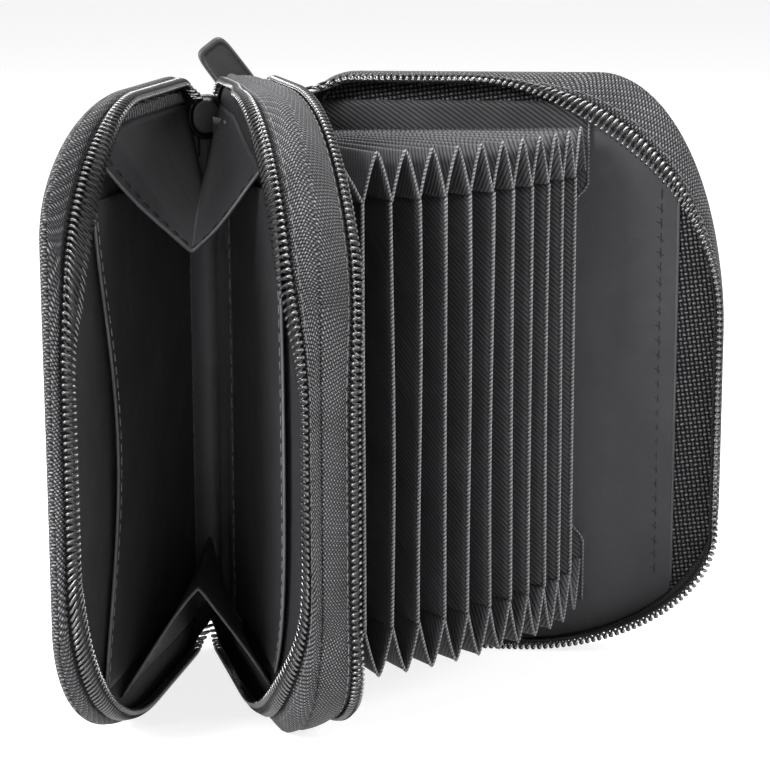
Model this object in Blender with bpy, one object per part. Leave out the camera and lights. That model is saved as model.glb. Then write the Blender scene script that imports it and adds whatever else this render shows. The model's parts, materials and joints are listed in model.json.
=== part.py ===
"""Accordion card wallet with two zipped compartments, standing open on its short end.

The wallet is three flat trays joined at a soft spine: a coin cover, a partition and a card cover. Each tray
is a stiff panel with a fabric side strip around three edges and half of a zip on the strip's rim. Eleven free
dividers and one panel on the card cover fan out of the spine between the partition and the card cover.
Bellows close the ends of the card pockets, and a folded gusset closes each end of the coin compartment.

Frame: +Z up, +Y to the spine, +X from the partition to the card cover. The origin is the middle of the
partition's resting edge. Every tray is built closed, with s counted from the spine's outer face to the front,
and a parent empty on its hinge turns it open.
"""

import math

import bmesh
import bpy
from mathutils import Matrix, Vector

# Whole wallet
HEIGHT = 0.115
DEPTH = 0.082
FIT = 0.0003  # gap between neighbouring pieces
MERGE = 0.000003  # points closer than this are one
FRONT_RADIUS = 0.032  # of the partition
COVER_TOP_RADIUS = 0.039
COVER_BOTTOM_RUN = 0.044
COVER_BOTTOM_RISE = 0.032
REAR_RADIUS = 0.010

# Zip rims, whose corners are wider than the panels' corners
COIN_RIM_TOP_RADIUS = 0.043
COIN_RIM_BOTTOM_RUN = 0.046
COIN_RIM_BOTTOM_RISE = 0.036
CARD_RIM_TOP_RUN = 0.056
CARD_RIM_TOP_DROP = 0.054
CARD_RIM_BOTTOM_RUN = 0.044
CARD_RIM_BOTTOM_RISE = 0.032
SPINE_Y = (REAR_RADIUS + DEPTH - FRONT_RADIUS) / 2  # puts the origin at the middle of the flat edge below
WRAP = 0.003  # how far the zip runs on down the spine past its corner
COVER_ZIP_START = 0.0075
BEAD_RADIUS = 0.0005
ZIP_GAP = 0.0019  # between the two rims' centre lines when shut

# Tray walls, from the middle of the partition or the outer face of a cover to the rim's centre line
COIN_INNER_WALL = 0.004
COIN_OUTER_WALL = 0.004
CARD_INNER_WALL = 0.008
CARD_OUTER_WALL = 0.0067

# Layers
SKIN = 0.0006
BOARD = 0.0010
CORE = 0.0012
LINING = 0.0004
SIDE = 0.0007
SEAM_WIDTH = 0.0012
SPINE = 0.0008
POCKET = 0.0004

# How far the covers stand open
COIN_OPEN = 25.0
CARD_OPEN = 69.7

# Card pack
DIVIDERS = 11
FIRST_TURN = 12.0  # of the first divider, from the partition
LAST_TURN = 57.8
DIVIDER = 0.00044
DIVIDER_CREASE = 0.00026  # its thickness pressed flat at the fold
DIVIDER_TAPER = 0.006
DIVIDER_EDGE = 0.0007
DIVIDER_DEPTH = 0.0575
DIVIDER_LOW = 0.0184
DIVIDER_TOP_DROP = 0.0186
PLEAT = 0.0086
PLEAT_THICKNESS = 0.0006
PLEAT_START = 0.009
END_PANEL_DEPTH = 0.055

# Slip pockets, whose mouths face the front and curve back in the middle
COVER_POCKET_DEPTH = 0.061
PARTITION_POCKET_DEPTH = 0.066
MOUTH_SAG = 0.006
POCKET_LOW = 0.011
POCKET_TOP_DROP = 0.0175
POCKET_ROUND = 0.004

# Coin gussets
GUSSET = 0.0005
GUSSET_START = 0.0046
GUSSET_FRONT = 0.049
TOP_HEM_DROP = 0.008
TOP_FOLD_FRONT_DROP = 0.028
TOP_FOLD_REAR_DROP = 0.020
BOTTOM_HEM = 0.0065
BOTTOM_FOLD = 0.021

# Sliders
SLIDER_WIDTH = 0.0068
SLIDER_LENGTH = 0.0078
PLATE = 0.0009
PLATE_ROUND = 0.0016
INNER_PLATE_HALF_WIDTH = 0.0021
INNER_PLATE_HALF_LENGTH = 0.0032
INNER_PLATE = 0.0008
INNER_PLATE_DROP = 0.0024  # from the strip's outer face in to the inner plate
POST_WIDTH = 0.0005
POST_LENGTH = 0.0022
ARCH_WIDTH = 0.0010
ARCH_LENGTH = 0.0044
ARCH_EYE = 0.0026
ARCH_BAR = 0.0007
EYE_RISE = 0.0013
WIRE_RADIUS = 0.0004
LINK_HALF_WIDTH = 0.0022
LINK_LENGTH = 0.0050
LINK_ROUND = 0.0008
TAB_WIDTH = 0.0066
TAB_LENGTH = 0.0138
TAB = 0.0016
TAB_ROUND = 0.0018
TAB_BEVEL = 0.0004
CARD_TAB_LEAN = 37.0

# Stops at the zips' lower ends
STOP_WIDTH = 0.0042
STOP_HEIGHT = 0.0020
STOP = 0.0012

# Angles in degrees
SMOOTH_ANGLE = 35.0
BEVEL_ANGLE = 60.0
NOSE_ANGLE = 30.0  # where a divider's rounded front edge begins, and each of its steps

# Counts along a rim, and across round things
NOSE_POINTS = 9
ARC_STEPS = 7
CORNER_STEPS = 13
STRAIGHT_STEPS = 3
FRONT_STEPS = 5
DEPTH_STEPS = 4

# Derived places
PARTITION_CORNERS = ((FRONT_RADIUS, FRONT_RADIUS), (FRONT_RADIUS, FRONT_RADIUS))
COVER_CORNERS = ((COVER_TOP_RADIUS, COVER_TOP_RADIUS), (COVER_BOTTOM_RUN, COVER_BOTTOM_RISE))
COIN_RIM_TOP = (COIN_RIM_TOP_RADIUS, COIN_RIM_TOP_RADIUS)
COIN_RIM_CORNERS = (COIN_RIM_TOP, (COIN_RIM_BOTTOM_RUN, COIN_RIM_BOTTOM_RISE))
CARD_RIM_TOP = (CARD_RIM_TOP_RUN, CARD_RIM_TOP_DROP)
CARD_RIM_CORNERS = (CARD_RIM_TOP, (CARD_RIM_BOTTOM_RUN, CARD_RIM_BOTTOM_RISE))
COIN_PIVOT_X = -(COIN_INNER_WALL + COIN_OUTER_WALL + ZIP_GAP)
CARD_PIVOT_X = CARD_INNER_WALL + CARD_OUTER_WALL + ZIP_GAP
COVER_FACE = SKIN + FIT + BOARD + FIT + LINING  # from a cover's outer face in to its lining's face
PARTITION_FACE = CORE / 2 + FIT + LINING
SPINE_LOW = REAR_RADIUS + WRAP + FIT + STOP_HEIGHT + FIT
SPINE_HIGH = HEIGHT - REAR_RADIUS - WRAP - FIT
DIVIDER_HIGH = HEIGHT - DIVIDER_TOP_DROP
POCKET_HIGH = HEIGHT - POCKET_TOP_DROP
INNER_START = SPINE + 2 * FIT  # where boards and linings begin, in front of the spine panel
POCKET_START = SPINE + FIT + LINING + FIT  # where slip pockets begin, in front of the spine's lining
EDGE_INSET = SIDE + FIT
FOLD_S = POCKET_START + DIVIDER / 2
END_PANEL_FACE = COVER_FACE + FIT + DIVIDER
FAN_SPAN = CARD_PIVOT_X - END_PANEL_FACE - PARTITION_FACE
PITCH = FAN_SPAN / DIVIDERS
TURN_STEP = (LAST_TURN - FIRST_TURN) / (DIVIDERS - 1)
SLIDER_REST = REAR_RADIUS + FIT  # from the corner's centre to the slider's outer plate
EYE_CENTRE = SLIDER_REST + PLATE + EYE_RISE / 2


for old in list(bpy.data.objects):
    bpy.data.objects.remove(old, do_unlink=True)


# Materials

def material(name, colour, roughness, metallic=0.0):
    """A plain Principled material."""
    made = bpy.data.materials.new(name)
    made.use_nodes = True
    surface = made.node_tree.nodes["Principled BSDF"]
    surface.inputs["Base Color"].default_value = (*colour, 1.0)
    surface.inputs["Roughness"].default_value = roughness
    surface.inputs["Metallic"].default_value = metallic
    return made


OXFORD = material("outer_oxford", (0.060, 0.060, 0.066), 0.80)
TAPE = material("zip_tape", (0.070, 0.070, 0.076), 0.85)
SATIN = material("lining_satin", (0.022, 0.022, 0.026), 0.45)
TWILL = material("divider_twill", (0.055, 0.055, 0.060), 0.70)
FIBREBOARD = material("stiffener_board", (0.30, 0.27, 0.22), 0.90)
COIL = material("zip_coil", (0.030, 0.030, 0.034), 0.30)
STEEL = material("slider_metal", (0.045, 0.045, 0.050), 0.35, 0.9)
RUBBER = material("pull_rubber", (0.050, 0.050, 0.055), 0.55)


# Frames

def pivot(name, place, turn=(0.0, 0.0, 0.0), parent=None):
    """An empty on a joint's axis, turned by angles in degrees."""
    empty = bpy.data.objects.new(name, None)
    empty.location = place
    empty.rotation_euler = [math.radians(angle) for angle in turn]
    empty.parent = parent
    bpy.context.scene.collection.objects.link(empty)
    return empty


wallet = pivot("wallet_frame", (0, SPINE_Y, 0))
coin_hinge = pivot("coin_hinge", (COIN_PIVOT_X, 0, 0), (0, 0, -COIN_OPEN), wallet)
card_hinge = pivot("card_hinge", (CARD_PIVOT_X, 0, 0), (0, 0, CARD_OPEN), wallet)


def finish(name, shape, stuff, parent, smooth=False):
    """Turns a bmesh into a named object with its faces pointing out."""
    bmesh.ops.remove_doubles(shape, verts=shape.verts, dist=MERGE)
    bmesh.ops.recalc_face_normals(shape, faces=shape.faces)
    mesh = bpy.data.meshes.new(name)
    shape.to_mesh(mesh)
    shape.free()
    mesh.materials.append(stuff)
    if smooth:
        mesh.shade_smooth()
        mesh.set_sharp_from_angle(angle=math.radians(SMOOTH_ANGLE))
    made = bpy.data.objects.new(name, mesh)
    made.parent = parent
    bpy.context.scene.collection.objects.link(made)
    return made


def boolean(target, cutter, operation):
    """Joins or cuts with another object, which is then only a guide."""
    change = target.modifiers.new(operation.lower(), "BOOLEAN")
    change.operation = operation
    change.object = cutter
    cutter.hide_render = True
    cutter.display_type = "WIRE"
    return target


# Outlines, as (s, z) points

def quarter(centre, radii, begin, steps, inset=0.0):
    """A quarter of an ellipse from an angle in degrees, clockwise as seen from the coin side."""
    points = []
    for step in range(steps):
        angle = math.radians(begin - 90.0 * step / (steps - 1))
        points.append((centre[0] + (radii[0] - inset) * math.cos(angle),
                       centre[1] + (radii[1] - inset) * math.sin(angle)))
    return points


def straight(first, last, steps):
    """Points between two ends, without them."""
    return [(first[0] + (last[0] - first[0]) * (k + 1) / (steps + 1),
             first[1] + (last[1] - first[1]) * (k + 1) / (steps + 1)) for k in range(steps)]


def edge_path(top, bottom, inset, start):
    """The line around a tray's three edges, from the spine's top to its bottom.

    top and bottom are the front corners' radii along s and z. A start of zero runs round the rear corners
    and on down the spine; any other start begins and ends on the straight edges, that far from the spine.
    """
    upper = HEIGHT - inset
    front = DEPTH - inset
    head, tail = [(start, upper)], [(start, inset)]
    if start == 0:
        centre_top = (REAR_RADIUS, HEIGHT - REAR_RADIUS)
        centre_low = (REAR_RADIUS, REAR_RADIUS)
        round_rear = (REAR_RADIUS, REAR_RADIUS)
        head = [(inset, centre_top[1] - WRAP)] + quarter(centre_top, round_rear, 180.0, ARC_STEPS, inset)
        tail = quarter(centre_low, round_rear, 270.0, ARC_STEPS, inset) + [(inset, centre_low[1] + WRAP)]
    first = quarter((DEPTH - top[0], HEIGHT - top[1]), top, 90.0, CORNER_STEPS, inset)
    second = quarter((DEPTH - bottom[0], bottom[1]), bottom, 0.0, CORNER_STEPS, inset)
    return (head + straight(head[-1], first[0], STRAIGHT_STEPS) + first
            + straight((front, first[-1][1]), (front, second[0][1]), FRONT_STEPS) + second
            + straight(second[-1], tail[0], STRAIGHT_STEPS) + tail)


def corners_at(corners, rim_corners, share):
    """The front corners' radii, top and then bottom, at a share of the way from a panel out to its rim."""
    mixed = []
    for panel_radii, rim_radii in zip(corners, rim_corners):
        mixed.append([panel + (rim - panel) * share for panel, rim in zip(panel_radii, rim_radii)])
    return mixed


def panel_outline(radii, start, inset):
    """A closed panel with wide front corners, top and bottom radii as given, and small rear corners."""
    top, bottom = radii
    small = (REAR_RADIUS, REAR_RADIUS)
    low, high = inset + REAR_RADIUS, HEIGHT - inset - REAR_RADIUS
    return (quarter((DEPTH - top[0], HEIGHT - top[1]), top, 90.0, CORNER_STEPS, inset)
            + quarter((DEPTH - bottom[0], bottom[1]), bottom, 0.0, CORNER_STEPS, inset)
            + quarter((start + REAR_RADIUS, low), small, 270.0, ARC_STEPS)
            + quarter((start + REAR_RADIUS, high), small, 180.0, ARC_STEPS))


def pocket_outline(reach, start, sag):
    """A slip pocket: straight at the spine, its mouth drawn back in the middle."""
    rounds = (POCKET_ROUND, POCKET_ROUND)
    middle = (POCKET_LOW + POCKET_HIGH) / 2
    half = (POCKET_HIGH - POCKET_LOW) / 2 - POCKET_ROUND
    mouth = []
    for step in range(CORNER_STEPS):
        along = 1.0 - 2.0 * step / (CORNER_STEPS - 1)
        mouth.append((reach - sag * (1.0 - along * along), middle + half * along))
    top = quarter((reach - POCKET_ROUND, POCKET_HIGH - POCKET_ROUND), rounds, 90.0, ARC_STEPS)
    low = quarter((reach - POCKET_ROUND, POCKET_LOW + POCKET_ROUND), rounds, 0.0, ARC_STEPS)
    return top + mouth[1:-1] + low + [(start, POCKET_LOW), (start, POCKET_HIGH)]


# Solids

def plate(name, outline, near, far, stuff, parent):
    """A flat sheet between two distances across the tray."""
    shape = bmesh.new()
    rim = [shape.verts.new((near, -s, z)) for s, z in outline]
    face = shape.faces.new(rim)
    made = bmesh.ops.extrude_face_region(shape, geom=[face])
    moved = [part for part in made["geom"] if isinstance(part, bmesh.types.BMVert)]
    bmesh.ops.translate(shape, verts=moved, vec=(far - near, 0, 0))
    return finish(name, shape, stuff, parent)


def bar(name, low, high, stuff, parent):
    """A box between two corners."""
    shape = bmesh.new()
    bmesh.ops.create_cube(shape, size=1.0)
    size = Vector(high) - Vector(low)
    middle = (Vector(high) + Vector(low)) / 2
    bmesh.ops.transform(shape, matrix=Matrix.LocRotScale(middle, None, size), verts=shape.verts)
    return finish(name, shape, stuff, parent)


def rings(name, loops, stuff, parent, smooth=False):
    """A solid through a row of loops of equal count, closed at both ends."""
    shape = bmesh.new()
    rows = [[shape.verts.new(point) for point in loop] for loop in loops]
    count = len(rows[0])
    for near, far in zip(rows, rows[1:]):
        for k in range(count):
            shape.faces.new((near[k], near[(k + 1) % count], far[(k + 1) % count], far[k]))
    shape.faces.new(rows[0])
    shape.faces.new(list(reversed(rows[-1])))
    bmesh.ops.triangulate(shape, faces=shape.faces)
    return finish(name, shape, stuff, parent, smooth)


def side_strip(name, corners, rim_corners, base, rim, start, stuff, parent):
    """The fabric wall round a tray, from its panel's edge out to the rim, leaning in at the corners."""
    outer_base = edge_path(*corners, 0.0, start)
    outer_rim = edge_path(*rim_corners, 0.0, start)
    inner_rim = edge_path(*rim_corners, SIDE, start)
    inner_base = edge_path(*corners, SIDE, start)
    loops = []
    for a, b, c, d in zip(outer_base, outer_rim, inner_rim, inner_base):
        loops.append([(base, -a[0], a[1]), (rim, -b[0], b[1]), (rim, -c[0], c[1]), (base, -d[0], d[1])])
    return rings(name, loops, stuff, parent)


def seam_tape(name, stuff, parent):
    """The narrow tape that joins the partition's two side strips over its core."""
    half = SEAM_WIDTH / 2
    loops = []
    for a, b in zip(edge_path(*PARTITION_CORNERS, 0.0, 0), edge_path(*PARTITION_CORNERS, SIDE, 0)):
        outer = [(-half, -a[0], a[1]), (half, -a[0], a[1])]
        loops.append(outer + [(half, -b[0], b[1]), (-half, -b[0], b[1])])
    return rings(name, loops, stuff, parent)


def zip_half(name, rim_corners, across, start, stuff, parent):
    """Half of a zip: a bead along the rim, its outer side level with the strip's."""
    path = edge_path(*rim_corners, BEAD_RADIUS, start)
    curve = bpy.data.curves.new(name, "CURVE")
    curve.dimensions = "3D"
    curve.bevel_depth = BEAD_RADIUS
    curve.bevel_resolution = 1
    curve.use_fill_caps = True
    spline = curve.splines.new("POLY")
    spline.points.add(len(path) - 1)
    for point, (s, z) in zip(spline.points, path):
        point.co = (across, -s, z, 1.0)
    curve.materials.append(stuff)
    made = bpy.data.objects.new(name, curve)
    made.parent = parent
    bpy.context.scene.collection.objects.link(made)
    return made


# Partition

def share_at(depth, base, rim):
    """How far out a strip from base to rim has come where a panel's inner face meets it."""
    return max(depth - base, 0.0) / (rim - base)


def partition():
    base = SEAM_WIDTH / 2 + FIT
    coin_rim = COIN_INNER_WALL - BEAD_RADIUS - FIT
    card_rim = CARD_INNER_WALL - BEAD_RADIUS - FIT
    core_edge = panel_outline(PARTITION_CORNERS, INNER_START, EDGE_INSET)
    plate("partition_board", core_edge, -CORE / 2, CORE / 2, FIBREBOARD, wallet)
    coin_radii = corners_at(PARTITION_CORNERS, COIN_RIM_CORNERS, share_at(PARTITION_FACE, base, coin_rim))
    coin_edge = panel_outline(coin_radii, INNER_START, EDGE_INSET)
    plate("partition_coin_lining", coin_edge, -PARTITION_FACE, -CORE / 2 - FIT, SATIN, wallet)
    card_radii = corners_at(PARTITION_CORNERS, CARD_RIM_CORNERS, share_at(PARTITION_FACE, base, card_rim))
    card_edge = panel_outline(card_radii, INNER_START, EDGE_INSET)
    plate("partition_card_lining", card_edge, CORE / 2 + FIT, PARTITION_FACE, TWILL, wallet)
    mouth = pocket_outline(PARTITION_POCKET_DEPTH, POCKET_START, MOUTH_SAG)
    near = -PARTITION_FACE - FIT
    plate("partition_slip_pocket", mouth, near - POCKET, near, SATIN, wallet)
    seam_tape("partition_seam_tape", TAPE, wallet)
    side_strip("partition_coin_side", PARTITION_CORNERS, COIN_RIM_CORNERS, -base, -coin_rim, 0, TAPE, wallet)
    side_strip("partition_card_side", PARTITION_CORNERS, CARD_RIM_CORNERS, base, card_rim, 0, TAPE, wallet)
    zip_half("coin_zip_inner_half", COIN_RIM_CORNERS, -COIN_INNER_WALL, 0, COIL, wallet)
    zip_half("card_zip_inner_half", CARD_RIM_CORNERS, CARD_INNER_WALL, 0, COIL, wallet)


def cover(name, outward, wall, rim_corners, parent):
    """A cover tray: outer skin, stiffener, lining, side strip and its half of the zip.

    outward is -1 for the coin cover and 1 for the card cover, as seen from the partition.
    """
    inward = -outward
    base = SKIN + FIT
    rim = wall - BEAD_RADIUS - FIT
    plate(f"{name}_skin", panel_outline(COVER_CORNERS, FIT, 0.0), 0.0, inward * SKIN, OXFORD, parent)
    board_face = base + BOARD
    board_radii = corners_at(COVER_CORNERS, rim_corners, share_at(board_face, base, rim))
    board_edge = panel_outline(board_radii, INNER_START, EDGE_INSET)
    plate(f"{name}_board", board_edge, inward * base, inward * board_face, FIBREBOARD, parent)
    lining_radii = corners_at(COVER_CORNERS, rim_corners, share_at(COVER_FACE, base, rim))
    lining_edge = panel_outline(lining_radii, INNER_START, EDGE_INSET)
    behind = inward * (board_face + FIT)
    plate(f"{name}_lining", lining_edge, behind, inward * COVER_FACE, SATIN, parent)
    side_strip(f"{name}_side", COVER_CORNERS, rim_corners, inward * base, inward * rim, COVER_ZIP_START, TAPE,
               parent)


def covers():
    cover("coin_cover", -1, COIN_OUTER_WALL, COIN_RIM_CORNERS, coin_hinge)
    cover("card_cover", 1, CARD_OUTER_WALL, CARD_RIM_CORNERS, card_hinge)
    zip_half("coin_zip_outer_half", COIN_RIM_CORNERS, COIN_OUTER_WALL, COVER_ZIP_START, COIL, coin_hinge)
    zip_half("card_zip_outer_half", CARD_RIM_CORNERS, -CARD_OUTER_WALL, COVER_ZIP_START, COIL, card_hinge)
    mouth = pocket_outline(COVER_POCKET_DEPTH, POCKET_START, MOUTH_SAG)
    near = COVER_FACE + FIT
    plate("coin_cover_slip_pocket", mouth, near, near + POCKET, SATIN, coin_hinge)


# Card pack

def turn_of(k):
    """How far divider k stands from the partition, in degrees."""
    return FIRST_TURN + TURN_STEP * k


def fold_x(k):
    return PARTITION_FACE + PITCH * (k + 1 / 2)


def divider_section():
    """A doubled sheet, pressed thin at its fold, with a thicker, rounded front edge, as (x, s) points."""
    crease, half = DIVIDER_CREASE / 2, DIVIDER / 2
    bead = DIVIDER_EDGE / 2
    reach = DIVIDER_DEPTH - bead
    nose = [(bead * math.cos(angle), reach + bead * math.sin(angle))
            for angle in (math.radians(NOSE_ANGLE * (k - 1)) for k in range(NOSE_POINTS))]
    return [(crease, 0.0), (half, DIVIDER_TAPER)] + nose + [(-half, DIVIDER_TAPER), (-crease, 0.0)]


def dividers():
    for k in range(DIVIDERS):
        fold = pivot(f"divider_fold_{k + 1:02d}", (fold_x(k), -FOLD_S, 0), (0, 0, turn_of(k)), wallet)
        loops = [[(x, -s, z) for x, s in divider_section()] for z in (DIVIDER_LOW, DIVIDER_HIGH)]
        rings(f"card_divider_{k + 1:02d}", loops, TWILL, fold)
    near = COVER_FACE + FIT
    low = (-near - DIVIDER, -END_PANEL_DEPTH, DIVIDER_LOW)
    high = (-near, -FOLD_S, DIVIDER_HIGH)
    bar("card_pack_end_panel", low, high, TWILL, card_hinge)


def fan_point(k, along):
    """A point on divider k, or on the end panel after the last one, in the wallet's closed-tray axes."""
    if k < DIVIDERS:
        turn = math.radians(turn_of(k))
        return Vector((fold_x(k) + along * math.sin(turn), -FOLD_S - along * math.cos(turn)))
    turn = math.radians(CARD_OPEN)
    inset = END_PANEL_FACE
    reach = along * (END_PANEL_DEPTH - FOLD_S) / DIVIDER_DEPTH + FOLD_S
    return Vector((CARD_PIVOT_X + reach * math.sin(turn) - inset * math.cos(turn),
                   -reach * math.cos(turn) - inset * math.sin(turn)))


def bellows(name, hem, peak):
    """The strip that closes one end of all the pockets: a valley at each divider, a peak between two."""
    drop = math.copysign(PLEAT_THICKNESS, peak - hem)
    front = DIVIDER_DEPTH - DIVIDER_EDGE
    loops = []
    for step in range(DEPTH_STEPS):
        along = PLEAT_START + (front - PLEAT_START) * step / (DEPTH_STEPS - 1)
        crest, under = [], []
        for k in range(DIVIDERS):
            here, after = fan_point(k, along), fan_point(k + 1, along)
            between = (here + after) / 2
            crest += [(*here, hem + drop), (*between, peak)]
            under += [(*here, hem), (*between, peak - drop)]
        last = fan_point(DIVIDERS, along)
        crest.append((*last, hem + drop))
        under.append((*last, hem))
        loops.append(crest + list(reversed(under)))
    rings(name, loops, TWILL, wallet)


# Coin gussets

def gusset(name, hem, fold_front, fold_rear):
    """A lining panel folded once, from the cover's lining to the partition's, open at the front."""
    turn = math.radians(-COIN_OPEN)
    out = Vector((math.sin(turn), -math.cos(turn)))
    across = Vector((math.cos(turn), math.sin(turn)))
    thick = math.copysign(GUSSET, hem - fold_front)
    loops = []
    for step in range(DEPTH_STEPS):
        share = step / (DEPTH_STEPS - 1)
        s = GUSSET_START + (GUSSET_FRONT - GUSSET_START) * share
        cover_side = Vector((COIN_PIVOT_X, 0)) + out * s + across * (COVER_FACE + FIT)
        partition_side = Vector((-PARTITION_FACE - FIT, -s))
        middle = (cover_side + partition_side) / 2
        fold = fold_rear + (fold_front - fold_rear) * share
        line = [(cover_side, hem), (middle, fold), (partition_side, hem)]
        loops.append([(*p, z) for p, z in line] + [(*p, z - thick) for p, z in reversed(line)])
    rings(name, loops, SATIN, wallet)


# Spine

def spine():
    left = COIN_PIVOT_X + SKIN + FIT
    right = CARD_PIVOT_X - SKIN - FIT
    bar("spine_panel", (left, -SPINE, SPINE_LOW), (right, 0, SPINE_HIGH), OXFORD, wallet)
    near = SPINE + FIT
    low, high = SPINE_LOW + FIT, SPINE_HIGH - FIT
    coin_left = COIN_PIVOT_X + COVER_FACE + FIT
    card_right = CARD_PIVOT_X - COVER_FACE - FIT
    inner = PARTITION_FACE + FIT
    bar("coin_spine_lining", (coin_left, -near - LINING, low), (-inner, -near, high), SATIN, wallet)
    bar("card_spine_lining", (inner, -near - LINING, low), (card_right, -near, high), TWILL, wallet)


# Sliders, parked at the upper ends of the zips, behind the rear top corner

def slab(name, outline, low, high, stuff, parent, smooth=False):
    """A sheet of (x, z) outline between two y values."""
    loops = [[(x, y, z) for x, z in outline] for y in (low, high)]
    return rings(name, loops, stuff, parent, smooth)


def rounded(width, low, high, radius):
    """A rectangle's (x, z) outline with round corners, centred on x."""
    half = width / 2
    points = []
    for cx, cz, begin in ((half - radius, high - radius, 90.0), (half - radius, low + radius, 0.0),
                          (-half + radius, low + radius, 270.0), (-half + radius, high - radius, 180.0)):
        points += quarter((cx, cz), (radius, radius), begin, ARC_STEPS - 2)
    return points


def oval(half_width, half_length):
    """An ellipse's (x, z) outline."""
    count = 4 * ARC_STEPS
    turns = [2 * math.pi * k / count for k in range(count)]
    return [(half_width * math.sin(turn), half_length * math.cos(turn)) for turn in turns]


def slider(name, across):
    """Two plates with the rims between them, a post between the rims, and an arch that holds the pull.

    The parent empty is the centre of the rear top corner, round which the slider starts its run.
    """
    centre = pivot(f"{name}_run", (across, -REAR_RADIUS, HEIGHT - REAR_RADIUS), parent=wallet)
    half = SLIDER_LENGTH / 2
    top = SLIDER_REST + PLATE
    body = slab(name, rounded(SLIDER_WIDTH, -half, half, PLATE_ROUND), SLIDER_REST, top, STEEL, centre)
    low = REAR_RADIUS - INNER_PLATE_DROP
    inner = oval(INNER_PLATE_HALF_WIDTH, INNER_PLATE_HALF_LENGTH)
    inside = slab(f"{name}_inner_plate", inner, low - INNER_PLATE, low, STEEL, centre)
    bite = PLATE / 2
    post_high = INNER_PLATE_HALF_LENGTH - bite
    post_low = (-POST_WIDTH / 2, low - INNER_PLATE / 2, post_high - POST_LENGTH)
    post = bar(f"{name}_post", post_low, (POST_WIDTH / 2, SLIDER_REST + bite, post_high), STEEL, centre)
    crown = top + EYE_RISE + ARCH_BAR
    arch = bar(f"{name}_arch", (-ARCH_WIDTH / 2, top - bite, -ARCH_LENGTH / 2),
               (ARCH_WIDTH / 2, crown, ARCH_LENGTH / 2), STEEL, centre)
    eye = bar(f"{name}_eye", (-ARCH_WIDTH, top, -ARCH_EYE / 2), (ARCH_WIDTH, top + EYE_RISE, ARCH_EYE / 2),
              STEEL, centre)
    boolean(arch, eye, "DIFFERENCE")
    for piece in (inside, post, arch):
        boolean(body, piece, "UNION")
    return centre


def pull(name, carrier, turn):
    """A wire link through the slider's arch and the tab moulded on it, hanging along -Z before it turns."""
    eye = pivot(f"{name}_hinge", (0, EYE_CENTRE, 0), (0, turn, 0), carrier)
    curve = bpy.data.curves.new(f"{name}_link", "CURVE")
    curve.dimensions = "3D"
    curve.bevel_depth = WIRE_RADIUS
    curve.bevel_resolution = 1
    path = rounded(2 * LINK_HALF_WIDTH, -LINK_LENGTH, 0.0, LINK_ROUND)
    spline = curve.splines.new("POLY")
    spline.points.add(len(path) - 1)
    for point, (x, z) in zip(spline.points, path):
        point.co = (x, 0, z, 1.0)
    spline.use_cyclic_u = True
    curve.materials.append(STEEL)
    link = bpy.data.objects.new(f"{name}_link", curve)
    link.parent = eye
    bpy.context.scene.collection.objects.link(link)
    high = -LINK_LENGTH - WIRE_RADIUS - FIT
    tab = slab(f"{name}_tab", rounded(TAB_WIDTH, high - TAB_LENGTH, high, TAB_ROUND), -TAB / 2, TAB / 2,
               RUBBER, eye)
    edge = tab.modifiers.new("bevel", "BEVEL")
    edge.width = TAB_BEVEL
    edge.segments = 1
    edge.limit_method = "ANGLE"
    edge.angle_limit = math.radians(BEVEL_ANGLE)


def zips():
    coin_x = -COIN_INNER_WALL - ZIP_GAP / 2
    card_x = CARD_INNER_WALL + ZIP_GAP / 2
    pull("coin_pull", slider("coin_slider", coin_x), 0.0)
    pull("card_pull", slider("card_slider", card_x), 180.0 - CARD_TAB_LEAN)
    low = REAR_RADIUS + WRAP + FIT
    for name, across in (("coin_zip_stop", coin_x), ("card_zip_stop", card_x)):
        bar(name, (across - STOP_WIDTH / 2, -STOP, low), (across + STOP_WIDTH / 2, 0, low + STOP_HEIGHT),
            STEEL, wallet)


partition()
covers()
dividers()
bellows("card_bellows_top", DIVIDER_HIGH + FIT, DIVIDER_HIGH + FIT + PLEAT)
bellows("card_bellows_bottom", DIVIDER_LOW - FIT, DIVIDER_LOW - FIT - PLEAT)
gusset("coin_gusset_top", HEIGHT - TOP_HEM_DROP, HEIGHT - TOP_FOLD_FRONT_DROP, HEIGHT - TOP_FOLD_REAR_DROP)
gusset("coin_gusset_bottom", BOTTOM_HEM, BOTTOM_FOLD, BOTTOM_FOLD)
spine()
zips()
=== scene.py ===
"""Accordion card wallet standing open on a pale studio floor.

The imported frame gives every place. The sections follow the wallet as it is put together: covers and
partition, zips, linings, spine, coin compartment, card pack, sliders. A tray's own coordinates are those of
the shut wallet: across the tray, s from the spine's outer face to the front, and z up.
"""

import json
import math

import bpy
import numpy as np
from mathutils import Matrix, Vector


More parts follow.
